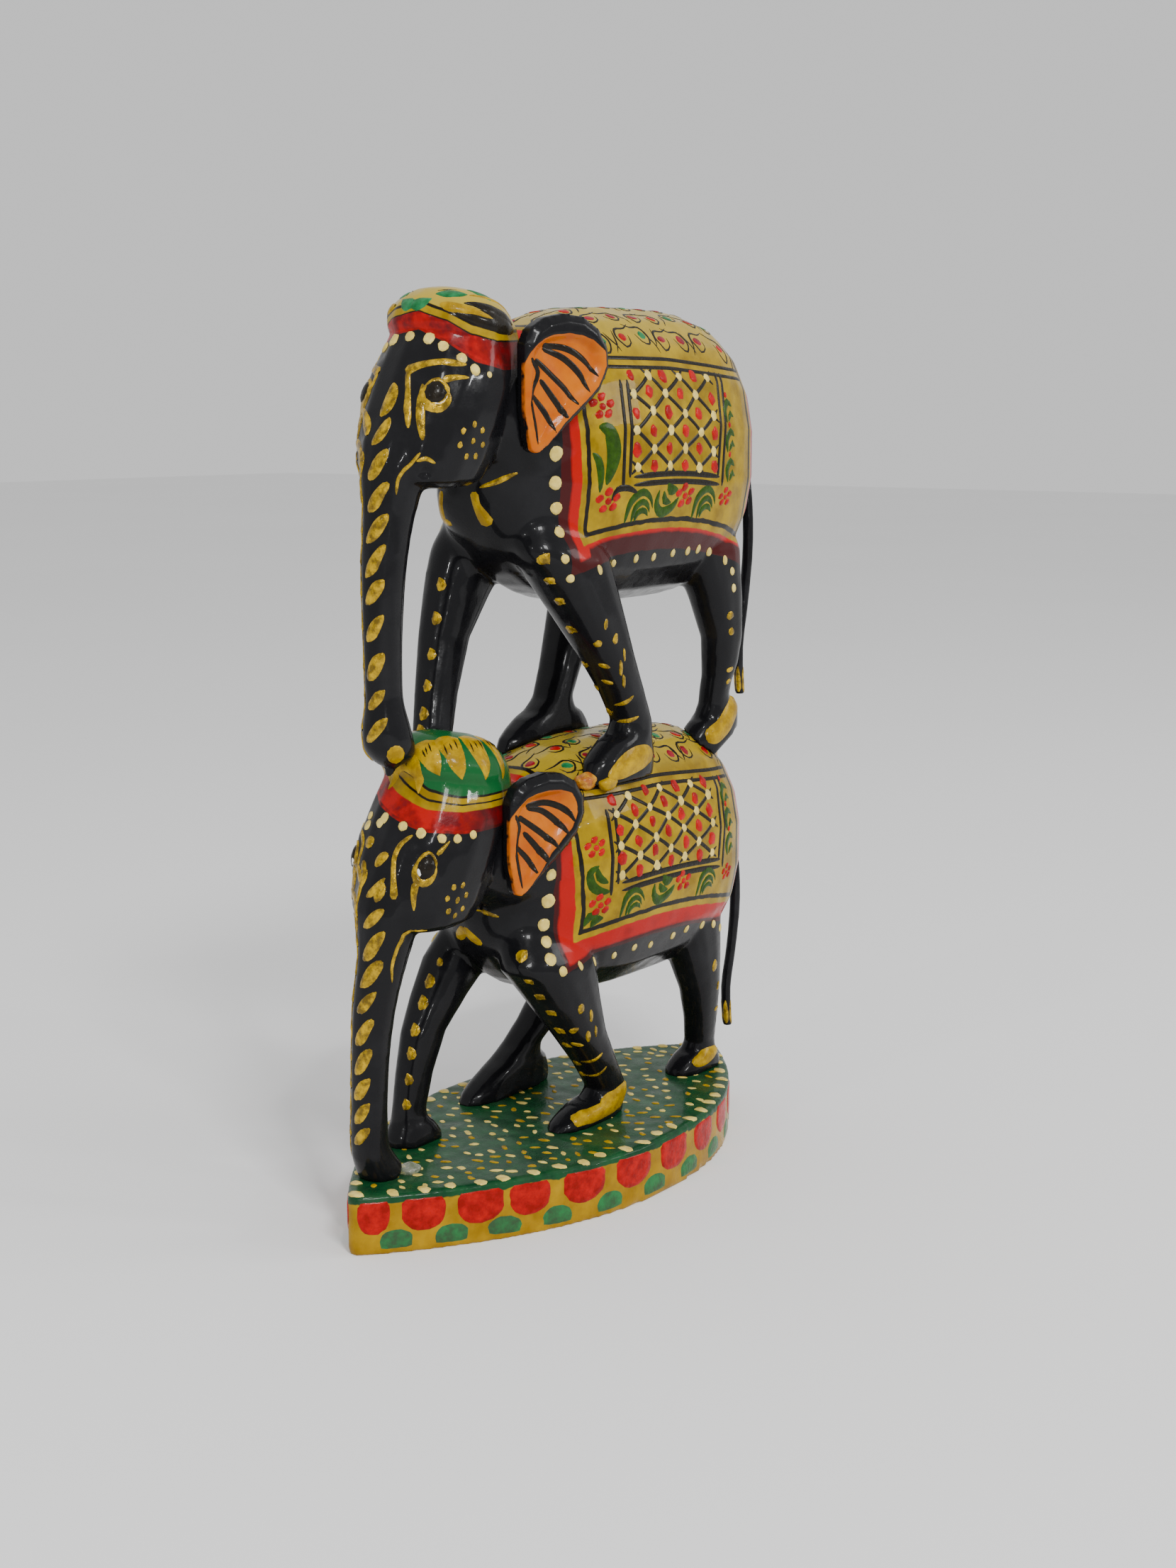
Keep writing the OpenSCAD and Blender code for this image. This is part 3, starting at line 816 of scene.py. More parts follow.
FACES = {
    "upper": dict(
        eye=(-37.8, -7.2, 137.0), eye_wide=2.5, eye_high=2.3, eye_line=1.15, almond=0.0,
        rosette=(-32.5, -10.2, 129.6), rosette_wide=2.6, rosette_turn=0,
        mouth=(-40.2, -7.0, 124.9), once=[],
        dots=[(-35.1, 3.8, 145.1, 1.9), (-35.4, 0.0, 145.7, 1.9), (-35.1, -3.6, 145.3, 2.1),
              (-34.4, -6.0, 144.1, 1.9),
              (-33.0, -8.5, 142.3, 1.8), (-31.5, -9.9, 140.5, 1.9), (-29.1, -10.9, 139.8, 1.0)],
        strokes=[
            ("gold", [(-38.3, -1.6, 140.3), (-37.6, -3.6, 141.2), (-36.0, -5.6, 141.4),
                      (-34.4, -7.6, 141.5), (-32.6, -9.0, 141.2)], [1.7, 1.2, 1.0, 1.0, 0.5]),
            ("gold", [(-38.4, -2.0, 140.4), (-39.3, -2.8, 138.3), (-39.9, -3.4, 136.5),
                      (-40.4, -3.9, 134.2), (-41.3, -4.6, 131.6)], [0.8, 0.8, 0.9, 1.1, 0.5]),
            ("gold", [(-39.0, -5.4, 138.6), (-39.8, -5.8, 136.0), (-40.3, -6.2, 133.0),
                      (-40.5, -6.8, 129.8)], [0.6, 1.1, 1.2, 0.6]),
            ("gold", [(-36.6, -7.8, 139.0), (-35.0, -8.8, 139.4), (-32.9, -9.8, 139.3)], [1.1, 0.8, 0.4]),
            ("gold", [(-40.9, -6.6, 127.9), (-42.0, -5.6, 126.2), (-43.1, -4.1, 124.0),
                      (-43.4, -3.9, 121.5)], [0.4, 0.5, 0.5, 0.3]),
            ("gold", [(-39.0, -8.0, 126.3), (-40.2, -7.2, 127.0), (-41.3, -6.2, 126.6)], [0.4, 0.6, 0.4]),
            ("gold", [(-19.8, -8.9, 124.4), (-21.8, -6.4, 123.0), (-22.8, -3.4, 122.0)], [0.5, 0.8, 0.4]),
            ("gilt", [(-22.8, -2.2, 121.3), (-22.0, -2.2, 119.3), (-21.2, -2.8, 117.4),
                      (-20.4, -3.4, 115.8)], [1.4, 1.3, 2.0, 2.3]),
        ]),
    "lower": dict(
        eye=(-42.0, -7.5, 63.1), eye_wide=2.3, eye_high=2.2, eye_line=0.8, almond=0.18,
        rosette=(-37.0, -9.9, 57.2), rosette_wide=2.0, rosette_turn=25,
        mouth=(-43.4, -5.6, 51.6),
        once=[([(-43.3, 3.0, 65.2), (-42.9, 3.5, 66.1), (-42.5, 3.9, 66.9)], [1.6, 2.5, 1.5]),
              ([(-44.8, 0.5, 62.8), (-44.3, -0.3, 64.2), (-43.8, -1.4, 64.8)], [1.5, 2.0, 1.1]),
              ([(-46.9, -1.2, 57.6), (-46.3, -1.5, 59.0), (-45.8, -1.7, 60.6)], [0.9, 2.4, 1.8]),
              ([(-44.2, 3.8, 63.2), (-45.6, 2.8, 61.0), (-46.3, 2.9, 58.5), (-46.3, 3.4, 55.5),
                (-46.6, 3.6, 52.0)], [1.4, 1.3, 1.2, 0.9, 0.5])],
        dots=[(-39.9, 6.0, 69.7, 1.5), (-41.2, 1.7, 70.0, 1.9), (-41.4, -2.4, 69.1, 1.8),
              (-40.8, -5.6, 68.2, 1.8),
              (-38.9, -8.3, 67.4, 1.6), (-36.8, -9.8, 67.2, 1.5), (-33.9, -10.7, 67.5, 1.4)],
        strokes=[
            ("gold", [(-41.7, -4.6, 68.0), (-43.0, -3.0, 66.4), (-43.7, -2.6, 64.2), (-44.6, -3.2, 61.2),
                      (-45.6, -3.9, 58.2)], [0.5, 0.8, 0.8, 0.8, 1.2]),
            ("gold", [(-40.2, -8.5, 65.0), (-39.4, -8.9, 65.8), (-38.1, -9.3, 67.0)], [0.8, 0.6, 0.3]),
            ("gold", [(-43.3, -6.6, 61.0), (-43.9, -6.6, 59.0), (-44.0, -6.7, 56.4)], [1.1, 0.9, 0.4]),
            ("gold", [(-41.4, -7.1, 52.9), (-43.6, -5.8, 52.2), (-45.0, -4.4, 50.6), (-45.8, -3.6, 47.3),
                      (-45.6, -3.4, 44.5)], [0.4, 0.9, 0.6, 0.5, 0.2]),
            ("gold", [(-21.7, -5.9, 50.9), (-24.0, -4.0, 51.2), (-26.0, -3.0, 51.0)], [0.4, 0.8, 0.4]),
            ("gilt", [(-22.4, 1.6, 48.0), (-22.2, 0.2, 46.4), (-21.3, -1.6, 45.2)], [1.4, 1.8, 1.2]),
        ]),
}


def trunk_middle(brush, z, limit):
    """Middle of the trunk at a height, found from its skin in front of limit."""
    near = (np.abs(brush.where[:, 2] - z) < 0.7) & (brush.where[:, 0] < limit)
    if near.sum() < 6:
        return None
    ring = brush.where[near]
    return (ring.min(0) + ring.max(0)) / 2


def lay_trunk(brush, e, side):
    """Slanted gold leaves down each side of the trunk."""
    far = side > 0
    for z, size in e.trunk_marks:
        z += 1.4 if far else 0
        mid = trunk_middle(brush, z, e.trunk_back)
        if mid is None:
            continue
        pts = []
        steep = dice.uniform(1.0, 1.35)
        for t, rise in ((-12, -1.7), (6, -0.7), (26, 0.6), (44, 1.6)):
            a = math.radians(t + (52 if far else 0))
            x, y = mid[0] - 9 * math.cos(a), mid[1] + side * 9 * math.sin(a)
            pts.append(inward(brush, (x, y, z + rise * size * steep), mid))
        widths = [dice.uniform(0.7, 1.6), 2.1 * size, dice.uniform(1.6, 2.2) * size]
        widths.append(dice.uniform(0.4, 1.1) * size)
        brush.stroke("gold", pts, widths, 0.22, 0.6)


def inward(brush, point, mid):
    """Where a line from a point towards the middle meets the skin."""
    way = Vector((mid[0] - point[0], mid[1] - point[1], 0)).normalized()
    hit = brush.skin.ray_cast(Vector(point), way)
    return None if hit[0] is None else np.array(hit[0])


def lay_ridge(brush, e):
    """The thin wavering line down the front of the trunk, and the oval at its tip."""
    pts = []
    for k, z in enumerate(np.arange(*e.trunk_ends, -1.1)):
        mid = trunk_middle(brush, z, e.trunk_back)
        if mid is None:
            continue
        a = math.radians(-47 + 6 * math.sin(k * 1.1) + dice.uniform(-2, 2))
        pts.append(inward(brush, (mid[0] - 9 * math.cos(a), mid[1] - 9 * math.sin(a), z), mid))
    pts = [p for p in pts if p is not None]
    widths = [0.55 + 0.2 * math.sin(k * 0.9) for k in range(len(pts))]
    brush.stroke("gold", pts, widths, 0.14, 0.7)
    if e.trunk_tip:
        for side in (-1, 1):
            spot = mirrored(e.trunk_tip, side)
            brush.dab("gilt", spot, 3.3, 4.3, 10, 0.22, brush.uneven(0.06, 12), 12)


def lay_legs(brush, e):
    """Gold wedges down the sharp front edge, flecks at the knee, ankle rings and gilded feet."""
    for leg in LEGS[e.name]:
        side = leg["side"]
        for x, y, z, size in leg.get("edge", ()):
            spot = brush.snap((x, y, z))[0]
            low = spot + np.array((-0.6, 0.3 * side, -0.9)) * size
            high = spot + np.array((0.5, 0.6 * side, 1.1)) * size
            brush.stroke("gold", [low, spot, high], [1.0 * size, 2.3 * size, 0.6 * size], 0.2, 0.5)
        for x, y, z, w, h, turn in leg.get("flecks", ()):
            brush.dab("gold", (x, y, z), 1.25 * w, 1.1 * h, turn, 0.16, brush.uneven(0.15))
        for points, width in leg.get("rings", ()):
            brush.stroke("gold", points, width, 0.12, 0.5)
        for points, width in leg.get("soles", ()):
            brush.stroke("gilt", points, width, 0.28, 0.5)


# edge: (x, y, z, size) down the front edge; flecks: (x, y, z, wide, high, turn); rings and soles:
# (points, widths) of the strokes round the ankle and of the gilded foot.
LEGS = {
    "upper": [
        dict(side=-1,
             edge=[(-17.4, -12.1, 110.0, 1.2), (-14.7, -11.4, 106.6, 1.1), (-12.0, -11.4, 103.1, 1.1),
                   (-8.2, -10.9, 98.1, 1.2), (-2.9, -9.6, 91.6, 1.0), (1.2, -8.9, 87.2, 1.0),
                   (2.8, -9.0, 81.6, 1.1)],
             flecks=[(-4.8, -15.7, 99.2, 0.7, 1.9, 0), (-5.3, -14.3, 95.8, 1.4, 1.3, 30),
                     (-2.2, -15.7, 96.5, 1.2, 1.8, -20), (-2.6, -13.6, 91.8, 1.9, 1.0, -25),
                     (0.2, -14.6, 91.5, 0.6, 3.0, 15), (-0.4, -12.6, 88.6, 2.0, 1.0, -20),
                     (1.6, -14.6, 89.0, 0.6, 2.6, 15), (0.4, -15.2, 93.6, 0.5, 2.4, 8)],
             rings=[([(3.0, -11.6, 84.2), (3.6, -13.6, 85.0), (4.4, -14.8, 86.1)], [0.4, 1.0, 0.6]),
                    ([(4.8, -10.8, 81.2), (5.6, -12.8, 81.5), (6.8, -14.2, 82.2)], [0.4, 0.9, 0.6])],
             soles=[([(-1.8, -14.2, 72.6), (1.2, -14.9, 73.8), (4.6, -15.2, 74.8), (8.4, -14.9, 75.2),
                      (10.8, -14.0, 75.0)], [1.4, 4.2, 5.2, 4.4, 2.4])]),
        dict(side=-1,
             flecks=[(37.0, -13.6, 97.2, 1.5, 1.6, 20), (37.8, -13.4, 94.2, 1.1, 1.5, 10),
                     (39.0, -12.6, 87.0, 1.6, 0.9, 15), (39.4, -12.4, 84.6, 1.4, 0.9, 20)],
             soles=[([(33.2, -11.0, 75.2), (35.6, -11.8, 75.4), (39.0, -11.8, 77.0), (42.6, -10.8, 80.0),
                      (44.4, -9.0, 82.0)], [2.4, 4.4, 4.8, 4.4, 3.0])]),
        dict(side=1,
             edge=[(-27.0, 6.8, 112.0, 1.0), (-27.0, 6.8, 107.0, 1.0), (-27.0, 6.8, 101.5, 1.0),
                   (-27.5, 6.8, 96.0, 0.9), (-27.8, 6.8, 90.5, 0.9), (-28.2, 6.6, 85.5, 1.0),
                   (-28.4, 6.2, 80.5, 1.2)],
             soles=[([(-26.0, 12.6, 74.0), (-22.0, 13.4, 74.0), (-18.0, 12.6, 74.2)], [1.2, 2.4, 1.0])]),
        dict(side=1,
             flecks=[(22.0, 15.2, 92.0, 1.4, 1.6, 0), (20.0, 15.0, 87.5, 1.2, 1.6, 0)],
             rings=[([(13.0, 14.4, 82.0), (16.0, 15.2, 82.4), (18.5, 14.4, 82.6)], [0.4, 0.9, 0.5])],
             soles=[([(0.0, 13.2, 76.2), (5.0, 14.2, 76.4), (12.0, 13.8, 76.6), (16.0, 12.6, 76.4)],
                     [1.0, 2.6, 2.8, 0.9])]),
    ],
    "lower": [
        dict(side=-1,
             edge=[(-21.6, -10.4, 45.2, 1.1), (-19.0, -10.6, 41.6, 1.0), (-16.4, -10.8, 37.6, 1.1),
                   (-14.3, -11.2, 33.6, 1.1), (-11.3, -10.6, 29.4, 1.2), (-8.6, -9.8, 25.6, 1.1),
                   (-5.0, -8.6, 20.4, 1.0), (-3.8, -8.2, 17.0, 0.9)],
             flecks=[(-10.4, -14.7, 34.0, 1.4, 1.8, 0), (-10.4, -13.1, 29.8, 1.6, 1.3, 30),
                     (-7.4, -13.9, 28.2, 0.9, 2.4, 15), (-7.4, -14.6, 32.0, 0.7, 2.2, 10),
                     (-5.6, -14.4, 28.8, 0.6, 2.2, 10), (-8.4, -12.2, 26.4, 2.0, 1.0, -20)],
             rings=[([(-4.9, -10.2, 22.0), (-3.8, -12.2, 22.8), (-2.6, -13.4, 24.0)], [0.5, 0.9, 0.6]),
                    ([(-1.9, -9.0, 18.5), (-1.2, -11.2, 19.4), (-0.6, -12.9, 20.9)], [0.4, 0.7, 0.4])],
             soles=[([(-6.6, -9.9, 12.0), (-2.0, -11.2, 12.5), (3.0, -11.4, 13.1), (6.6, -10.9, 14.0),
                      (9.6, -9.4, 14.4)], [3.4, 4.4, 4.8, 5.6, 3.4])]),
        dict(side=-1,
             flecks=[(33.6, -12.4, 32.0, 1.2, 2.4, 0), (36.0, -12.2, 27.4, 1.0, 1.8, 10),
                     (37.4, -11.4, 22.4, 1.4, 0.8, 15)],
             soles=[([(32.4, -9.2, 12.4), (34.0, -9.8, 12.8), (37.0, -10.2, 13.2), (40.6, -9.4, 13.6)],
                     [1.4, 3.0, 3.2, 1.6])]),
        dict(side=1,
             edge=[(-29.4, 7.6, 41.0, 1.1), (-30.2, 7.4, 36.5, 1.1), (-30.4, 7.4, 31.6, 1.0),
                   (-30.6, 7.4, 26.6, 1.0), (-30.6, 7.6, 22.0, 0.9), (-31.0, 7.4, 17.6, 0.9)],
             flecks=[(-27.6, 6.0, 44.6, 1.0, 1.6, 0)],
             soles=[([(-29.0, 13.2, 12.0), (-26.0, 13.8, 12.2), (-22.6, 13.2, 12.4)], [1.2, 2.6, 1.0])]),
        dict(side=1,
             flecks=[(14.0, 15.8, 24.0, 1.4, 1.8, 0), (18.0, 16.4, 30.0, 1.3, 1.7, 0)],
             rings=[([(8.0, 16.6, 18.5), (11.0, 17.2, 19.5), (13.6, 16.4, 20.5)], [0.4, 0.9, 0.5])],
             soles=[([(-4.0, 17.8, 12.0), (1.0, 18.6, 12.2), (8.0, 18.4, 12.6), (13.0, 17.0, 12.6)],
                     [1.2, 2.6, 3.0, 1.2])]),
    ],
}


UPPER_CAP = [
    ("dark", [(-32.8, -6.8, 149.3), (-30.6, -8.4, 148.8), (-27.8, -9.5, 148.1), (-25.0, -9.8, 147.6),
              (-22.8, -9.8, 147.2), (-20.6, -9.5, 146.9)], [0.5, 2.5, 3.7, 3.9, 3.0, 0.9], 0.17, 0.6),
    ("dark", [(-30.9, -7.4, 150.9), (-28.2, -8.5, 150.3), (-25.2, -9.2, 149.6), (-22.6, -9.3, 148.7),
              (-20.6, -9.0, 147.8)], [0.4, 1.8, 2.2, 2.2, 0.9], 0.16, 0.6),
    ("gilt", [(-28.6, -6.4, 151.6), (-24.6, -7.0, 151.2), (-21.0, -6.6, 150.2), (-18.6, -6.0, 148.6)],
     [0.3, 0.9, 0.9, 0.5], 0.14, 0.8),
    ("gilt", [(-33.5, -4.7, 150.6), (-32.3, -6.9, 150.0), (-29.9, -8.7, 149.4), (-27.0, -9.7, 148.3)],
     [1.4, 2.3, 1.6, 0.4], 0.3, 0.8)]
LEAVES = ((-35.0, -1.2, 151.0, 1.2), (-30.8, -4.6, 151.9, 1.1), (-25.6, -6.2, 151.9, 1.1))
PETALS = ((-41.2, -1.6, 78.0, 0.6), (-37.9, -4.5, 79.4, 0.7), (-34.4, -6.6, 78.8, 0.8),
          (-30.2, -7.9, 78.4, 0.8), (-25.4, -6.9, 77.8, 0.6))


def lay_cap(brush, e):
    """Long leaves and green leaflets on the upper headdress, ticked petals on the lower."""
    for side in (-1, 1):

        def sweep(colour, points, widths, lift, step=0.8):
            brush.stroke(colour, [brush.snap(mirrored(p, side))[0] for p in points], widths, lift, step)

        if e is UPPER:
            for stroke in UPPER_CAP:
                sweep(*stroke)
            for x, y, z, w in LEAVES:
                sweep("green", [(x - 1.6, y + 1.7, z), (x - 0.5, y + 0.5, z), (x + 0.7, y - 0.7, z),
                                (x + 1.9, y - 1.7, z)], [0.5 * w, 2.3 * w, 2.0 * w, 0.3], 0.14, 0.6)
                sweep("dark", [(x - 0.4, y + 2.2, z), (x + 1.6, y + 0.4, z)], [0.35, 0.15], 0.08)
            continue
        for x, y, z, lean in PETALS:
            sweep("gilt", [(x + 0.4, y - 2.0, z - 2.6), (x + 0.6, y - 0.9, z - 0.6),
                           (x + lean, y + 0.8, z + 1.8), (x + lean + 1.0, y + 3.0, z + 3.6)],
                  [0.3, 3.0, 4.4, 5.0], 0.16, 0.6)
            for d in (-1.1, 0.0, 1.1):
                tick = x + lean + d
                sweep("dark", [(tick - 0.2, y + 0.4, z + 1.2), (tick + 0.5, y + 1.7, z + 2.6)],
                      [0.55, 0.2], 0.26)


def shape_skin(obj, e):
    """Eyeballs, brows and mouths stand out or sink in, and the joints are rubbed down."""
    f = FACES[e.name]
    eye = np.array(f["eye"])
    spots = []
    for side in (-1, 1):
        spots.append((mirrored(eye, side), 2.6, 0.5))
        spots.append((mirrored(eye + np.array((0.6, 0.4, 3.6)), side), 3.0, 0.35))
        spots.append((mirrored(f["mouth"], side), 1.6, -0.7))
    if e is UPPER:
        spots.append(((-41.6, 0, 82), 9, 1.1))
    swell(obj, spots)
    ease(obj, [((x, y * side, z), r) for side in (-1, 1) for x, y, z, r in e.joints], 60)
    if e is UPPER:
        swell(obj, [((-23.5, 5.5, 116.5), 8, 1.5)])
        round_end(obj, lambda w: w[:, 0] < -36.5, 76.4, 88, 2.0)
        lift_heels(obj, 36, 88, 4.0)


def lift_heels(obj, behind, below, lift):
    """Raises what lies behind an x and below a height, by up to lift."""
    heel = places(obj)
    reach = np.clip((heel[:, 0] - behind) / 8, 0, 1) * np.clip((below - heel[:, 2]) / 6, 0, 1)
    heel[:, 2] += lift * reach
    put(obj, heel)


def paint_elephant(e):
    """One animal: its carved skin in lacquer, and the brushwork on it."""
    obj = carve(e.name + "_elephant_skin", e.name + "_elephant", 0.5, 3)
    shape_skin(obj, e)
    note_regions(obj, e)
    obj.data.materials.append(lacquer(e.name + "_lacquer", e.cap_steps, e.brow_under))
    brush = Brush(obj)
    for side in (-1, 1):
        lay_cloth(brush, e, side)
        lay_face(brush, e, side)
        lay_trunk(brush, e, side)
    lay_ridge(brush, e)
    lay_legs(brush, e)
    lay_cap(brush, e)
    brush.dry(e.name + "_brushwork")


# ---------- ears ----------

FAN = [(0.06, 0.02), (0, 0.3), (0, 0.78), (0.07, 0.9), (0.19, 0.97), (0.36, 1), (0.54, 0.98), (0.68, 0.9),
       (0.77, 0.76), (0.78, 0.62), (0.7, 0.46), (0.54, 0.32), (0.36, 0.18), (0.2, 0.05), (0.12, 0)]
VEINS = [
    [(0.17, 0.745), (0.39, 0.745), (0.57, 0.665), (0.66, 0.55)],
    [(0.18, 0.735), (0.36, 0.68), (0.51, 0.56), (0.58, 0.44)],
    [(0.10, 0.66), (0.25, 0.56), (0.40, 0.45), (0.48, 0.34)],
    [(0.14, 0.52), (0.25, 0.41), (0.34, 0.30), (0.38, 0.225)],
    [(0.10, 0.42), (0.21, 0.28), (0.28, 0.15)],
    [(0.05, 0.68), (0.12, 0.58), (0.10, 0.45), (0.06, 0.36)],
    [(0.06, 0.38), (0.10, 0.22), (0.12, 0.07)]]


def from_outline(points, outline):
    """Distance of each point from a closed outline."""
    ring = np.array(outline)
    nxt = np.roll(ring, -1, axis=0)
    best = np.full(len(points), 1e9)
    for a, b in zip(ring, nxt):
        way = b - a
        t = np.clip(((points - a) @ way) / (way @ way), 0, 1)
        best = np.minimum(best, np.linalg.norm(points - a - t[:, None] * way, axis=1))
    return best


def ear_paint():
    """Orange enamel on the face of the fan and black lacquer on its rim. Reads the note face."""
    p = Paint("ear_enamel")
    face = p.sum("ADD", p.noted("face"), p.sum("MULTIPLY_ADD", p.mottle(2.0), 0.5, -0.25))
    patchy = p.between(p.mottle(4.0, 2.0), 0.35, 0.65)
    warm = p.mix(patchy, (0.52, 0.130, 0.0, 1), (0.42, 0.082, 0.0, 1))
    colour = p.layers(face, BLACK, [(0.0, warm)])
    roughness = p.between(p.mottle(1.5), 0.3, 0.7, 0.2, 0.36)
    return p.finish(colour, roughness, 0.16, 0.04, 0.0, skin_relief(p, 0.2))


def build_ear(node, glaze):
    """A fan with a rolled black rim, an orange bowl with soft folds, and dark veins."""
    low, high = [np.array(c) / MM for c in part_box(node)]
    side = -1 if "left" in node else 1
    tall = high[2] - low[2]
    thick, skin_depth = 3.4, 3.0
    c, s = math.cos(math.radians(14)), math.sin(math.radians(14))
    hinge = np.array((low[0] + thick * s, -low[1] if side > 0 else high[1], low[2]))
    obj = carve(node + "_carved", node, 0.36, 1)
    where = places(obj)
    flip = np.array((1, -side, 1))
    local = where * flip - hinge
    a = local[:, 0] * c - local[:, 1] * s
    b = local[:, 2]
    depth = -(local[:, 0] * s + local[:, 1] * c)
    inside = from_outline(np.stack([a, b], 1), np.array(FAN) * tall)
    crown, back_edge = (3.9, 0.9) if node.startswith("upper") else (3.4, 2.1)
    rim = np.maximum(crown * ramp(b / tall, 0.62, 0.95), back_edge * ramp(a / tall, 0.15, 0.42))
    face = inside - rim
    bowl = ramp(face, -0.5, 2.4)
    folds = 0.21 * np.sin(math.radians(75) + (a * 0.9 + b * 0.55) * 0.9) * ramp(face, 0.5, 3)
    rolled = 0.8 * (1 - ramp(inside, 0, 1.5))
    moved = (1.35 * bowl + folds + rolled) * ramp(depth, 1.2, 2.8)
    shift = np.stack([moved * s, moved * c, np.zeros_like(moved)], 1)
    put(obj, where + shift * flip)
    note(obj, "face", np.where(depth > 1.6, face, -3))
    obj.data.materials.append(glaze)
    brush = Brush(obj)
    for k, vein in enumerate(VEINS):
        pts = []
        for u, v in vein:
            u, v = u * tall + dice.uniform(-0.15, 0.15), v * tall + dice.uniform(-0.15, 0.15)
            flat = hinge + np.array((u * c - skin_depth * s, -u * s - skin_depth * c, v))
            pts.append(brush.snap(flat * flip)[0])
        start, middle = (0.95, 1.2) if k < 5 else (0.8, 0.9)
        brush.stroke("dark", pts, [start] + [middle] * (len(pts) - 2) + [0.35], 0.1, 0.6)
    brush.dry(node + "_veins")


# ---------- tails ----------

def tail_paint():
    p = Paint("tail_lacquer")
    dusty = p.between(p.mottle(6.0, 3.0), 0.5, 0.8)
    colour = p.mix(p.sum("MULTIPLY", dusty, 0.3), BLACK, (0.04, 0.04, 0.045, 1))
    roughness = p.between(p.mottle(1.2), 0.3, 0.7, 0.18, 0.34)
    return p.finish(colour, roughness, 0.16, 0.05, 0.0, skin_relief(p, 0.2))


def build_tail(node, glaze):
    """A thin black tail with four gold strokes round its tip."""
    obj = carve(node + "_carved", node, 0.3, 1)
    obj.data.materials.append(glaze)
    brush = Brush(obj)
    low = places(obj)[:, 2].min()
    for turn in (-70, 20, 110, 200):
        pts = []
        for rise in (0.3, 1.6, 3.4, 5.2):
            near = np.abs(brush.where[:, 2] - low - rise) < 0.5
            mid = brush.where[near].mean(0)
            a = math.radians(turn)
            pts.append(brush.snap(mid + np.array((math.cos(a), math.sin(a), 0)) * 3)[0])
        brush.stroke("gold", pts, [1.0, 1.5, 1.2, 0.3], 0.1, 0.6)
    brush.dry(node + "_tip")


# ---------- plinth ----------

def plinth_paint(edge):
    """Ochre sides and a green top, which runs down past the given height in places."""
    p = Paint("plinth_enamel")
    z = p.axis(2)
    patchy = p.between(p.mottle(5.0, 3.0, 0.6), 0.35, 0.7)
    ochre = p.mix(patchy, (0.24, 0.125, 0.0, 1), (0.40, 0.23, 0.0, 1))
    streak = p.between(p.mottle(1.0, 2.0, 0.5, (1, 1, 0.15)), 0.45, 0.75)
    ochre = p.mix(p.sum("MULTIPLY", streak, 0.4), ochre, (0.34, 0.18, 0.0, 1))
    brushed = p.between(p.mottle(4.0, 4.0, 0.65), 0.4, 0.7)
    deep = p.mix(brushed, (0.004, 0.040, 0.014, 1), (0.008, 0.075, 0.022, 1))
    dust = p.between(p.mottle(7.0, 4.0, 0.7), 0.5, 0.72)
    deep = p.mix(p.sum("MULTIPLY", dust, 0.35), deep, (0.05, 0.075, 0.045, 1))
    drip = p.sum("MULTIPLY_ADD", p.mottle(3.2, 2.0), 2.0, -1.0)
    cover = p.between(p.sum("ADD", z, drip), edge - 0.08, edge + 0.08)
    colour = p.mix(cover, ochre, deep)
    roughness = p.between(p.mottle(1.8, 3.0), 0.3, 0.75, 0.2, 0.42)
    return p.finish(colour, roughness, 0.12, 0.06, 0.0, skin_relief(p, 0.7, 0.05))


def outline_of(x, half_long, half_wide):
    """Half the width of the boat-shaped plinth at x."""
    share = np.abs(x) / half_long
    return half_wide * (1 - share ** np.where(x < 0, 2.0, 2.4))


def tab_shape(sides, flat):
    """Reach of each side of a tab that is round one way and flat the other: flat 1 is above, -1 below."""
    reach = []
    for k in range(sides):
        angle = 2 * math.pi * k / sides
        c, s = abs(math.cos(angle)), math.sin(angle) * flat
        box = min(0.98 / max(c, 0.01), 0.8 / max(s, 0.01), 1.16)
        reach.append((box if s > 0 else 1.0) * dice.uniform(0.96, 1.03))
    return reach


TABS = ((-50.4, 5.6), (-44.0, 7.6), (-36.0, 8.3), (-28.3, 7.8), (-18.4, 9.0), (-7.5, 9.2), (3.9, 8.8),
        (14.9, 8.2), (25.2, 7.8), (34.6, 7.4), (42.8, 6.6), (48.6, 4.6))
HALF_MOONS = (-47.6, -40.2, -32.4, -23.6, -13.2, -2.0, 9.2, 20.0, 29.8, 38.8, 45.8)
FLAT_DROP = ((0.35, 1.0), (0.7, 1.0), (0.92, 0.8), (1.0, -0.3))


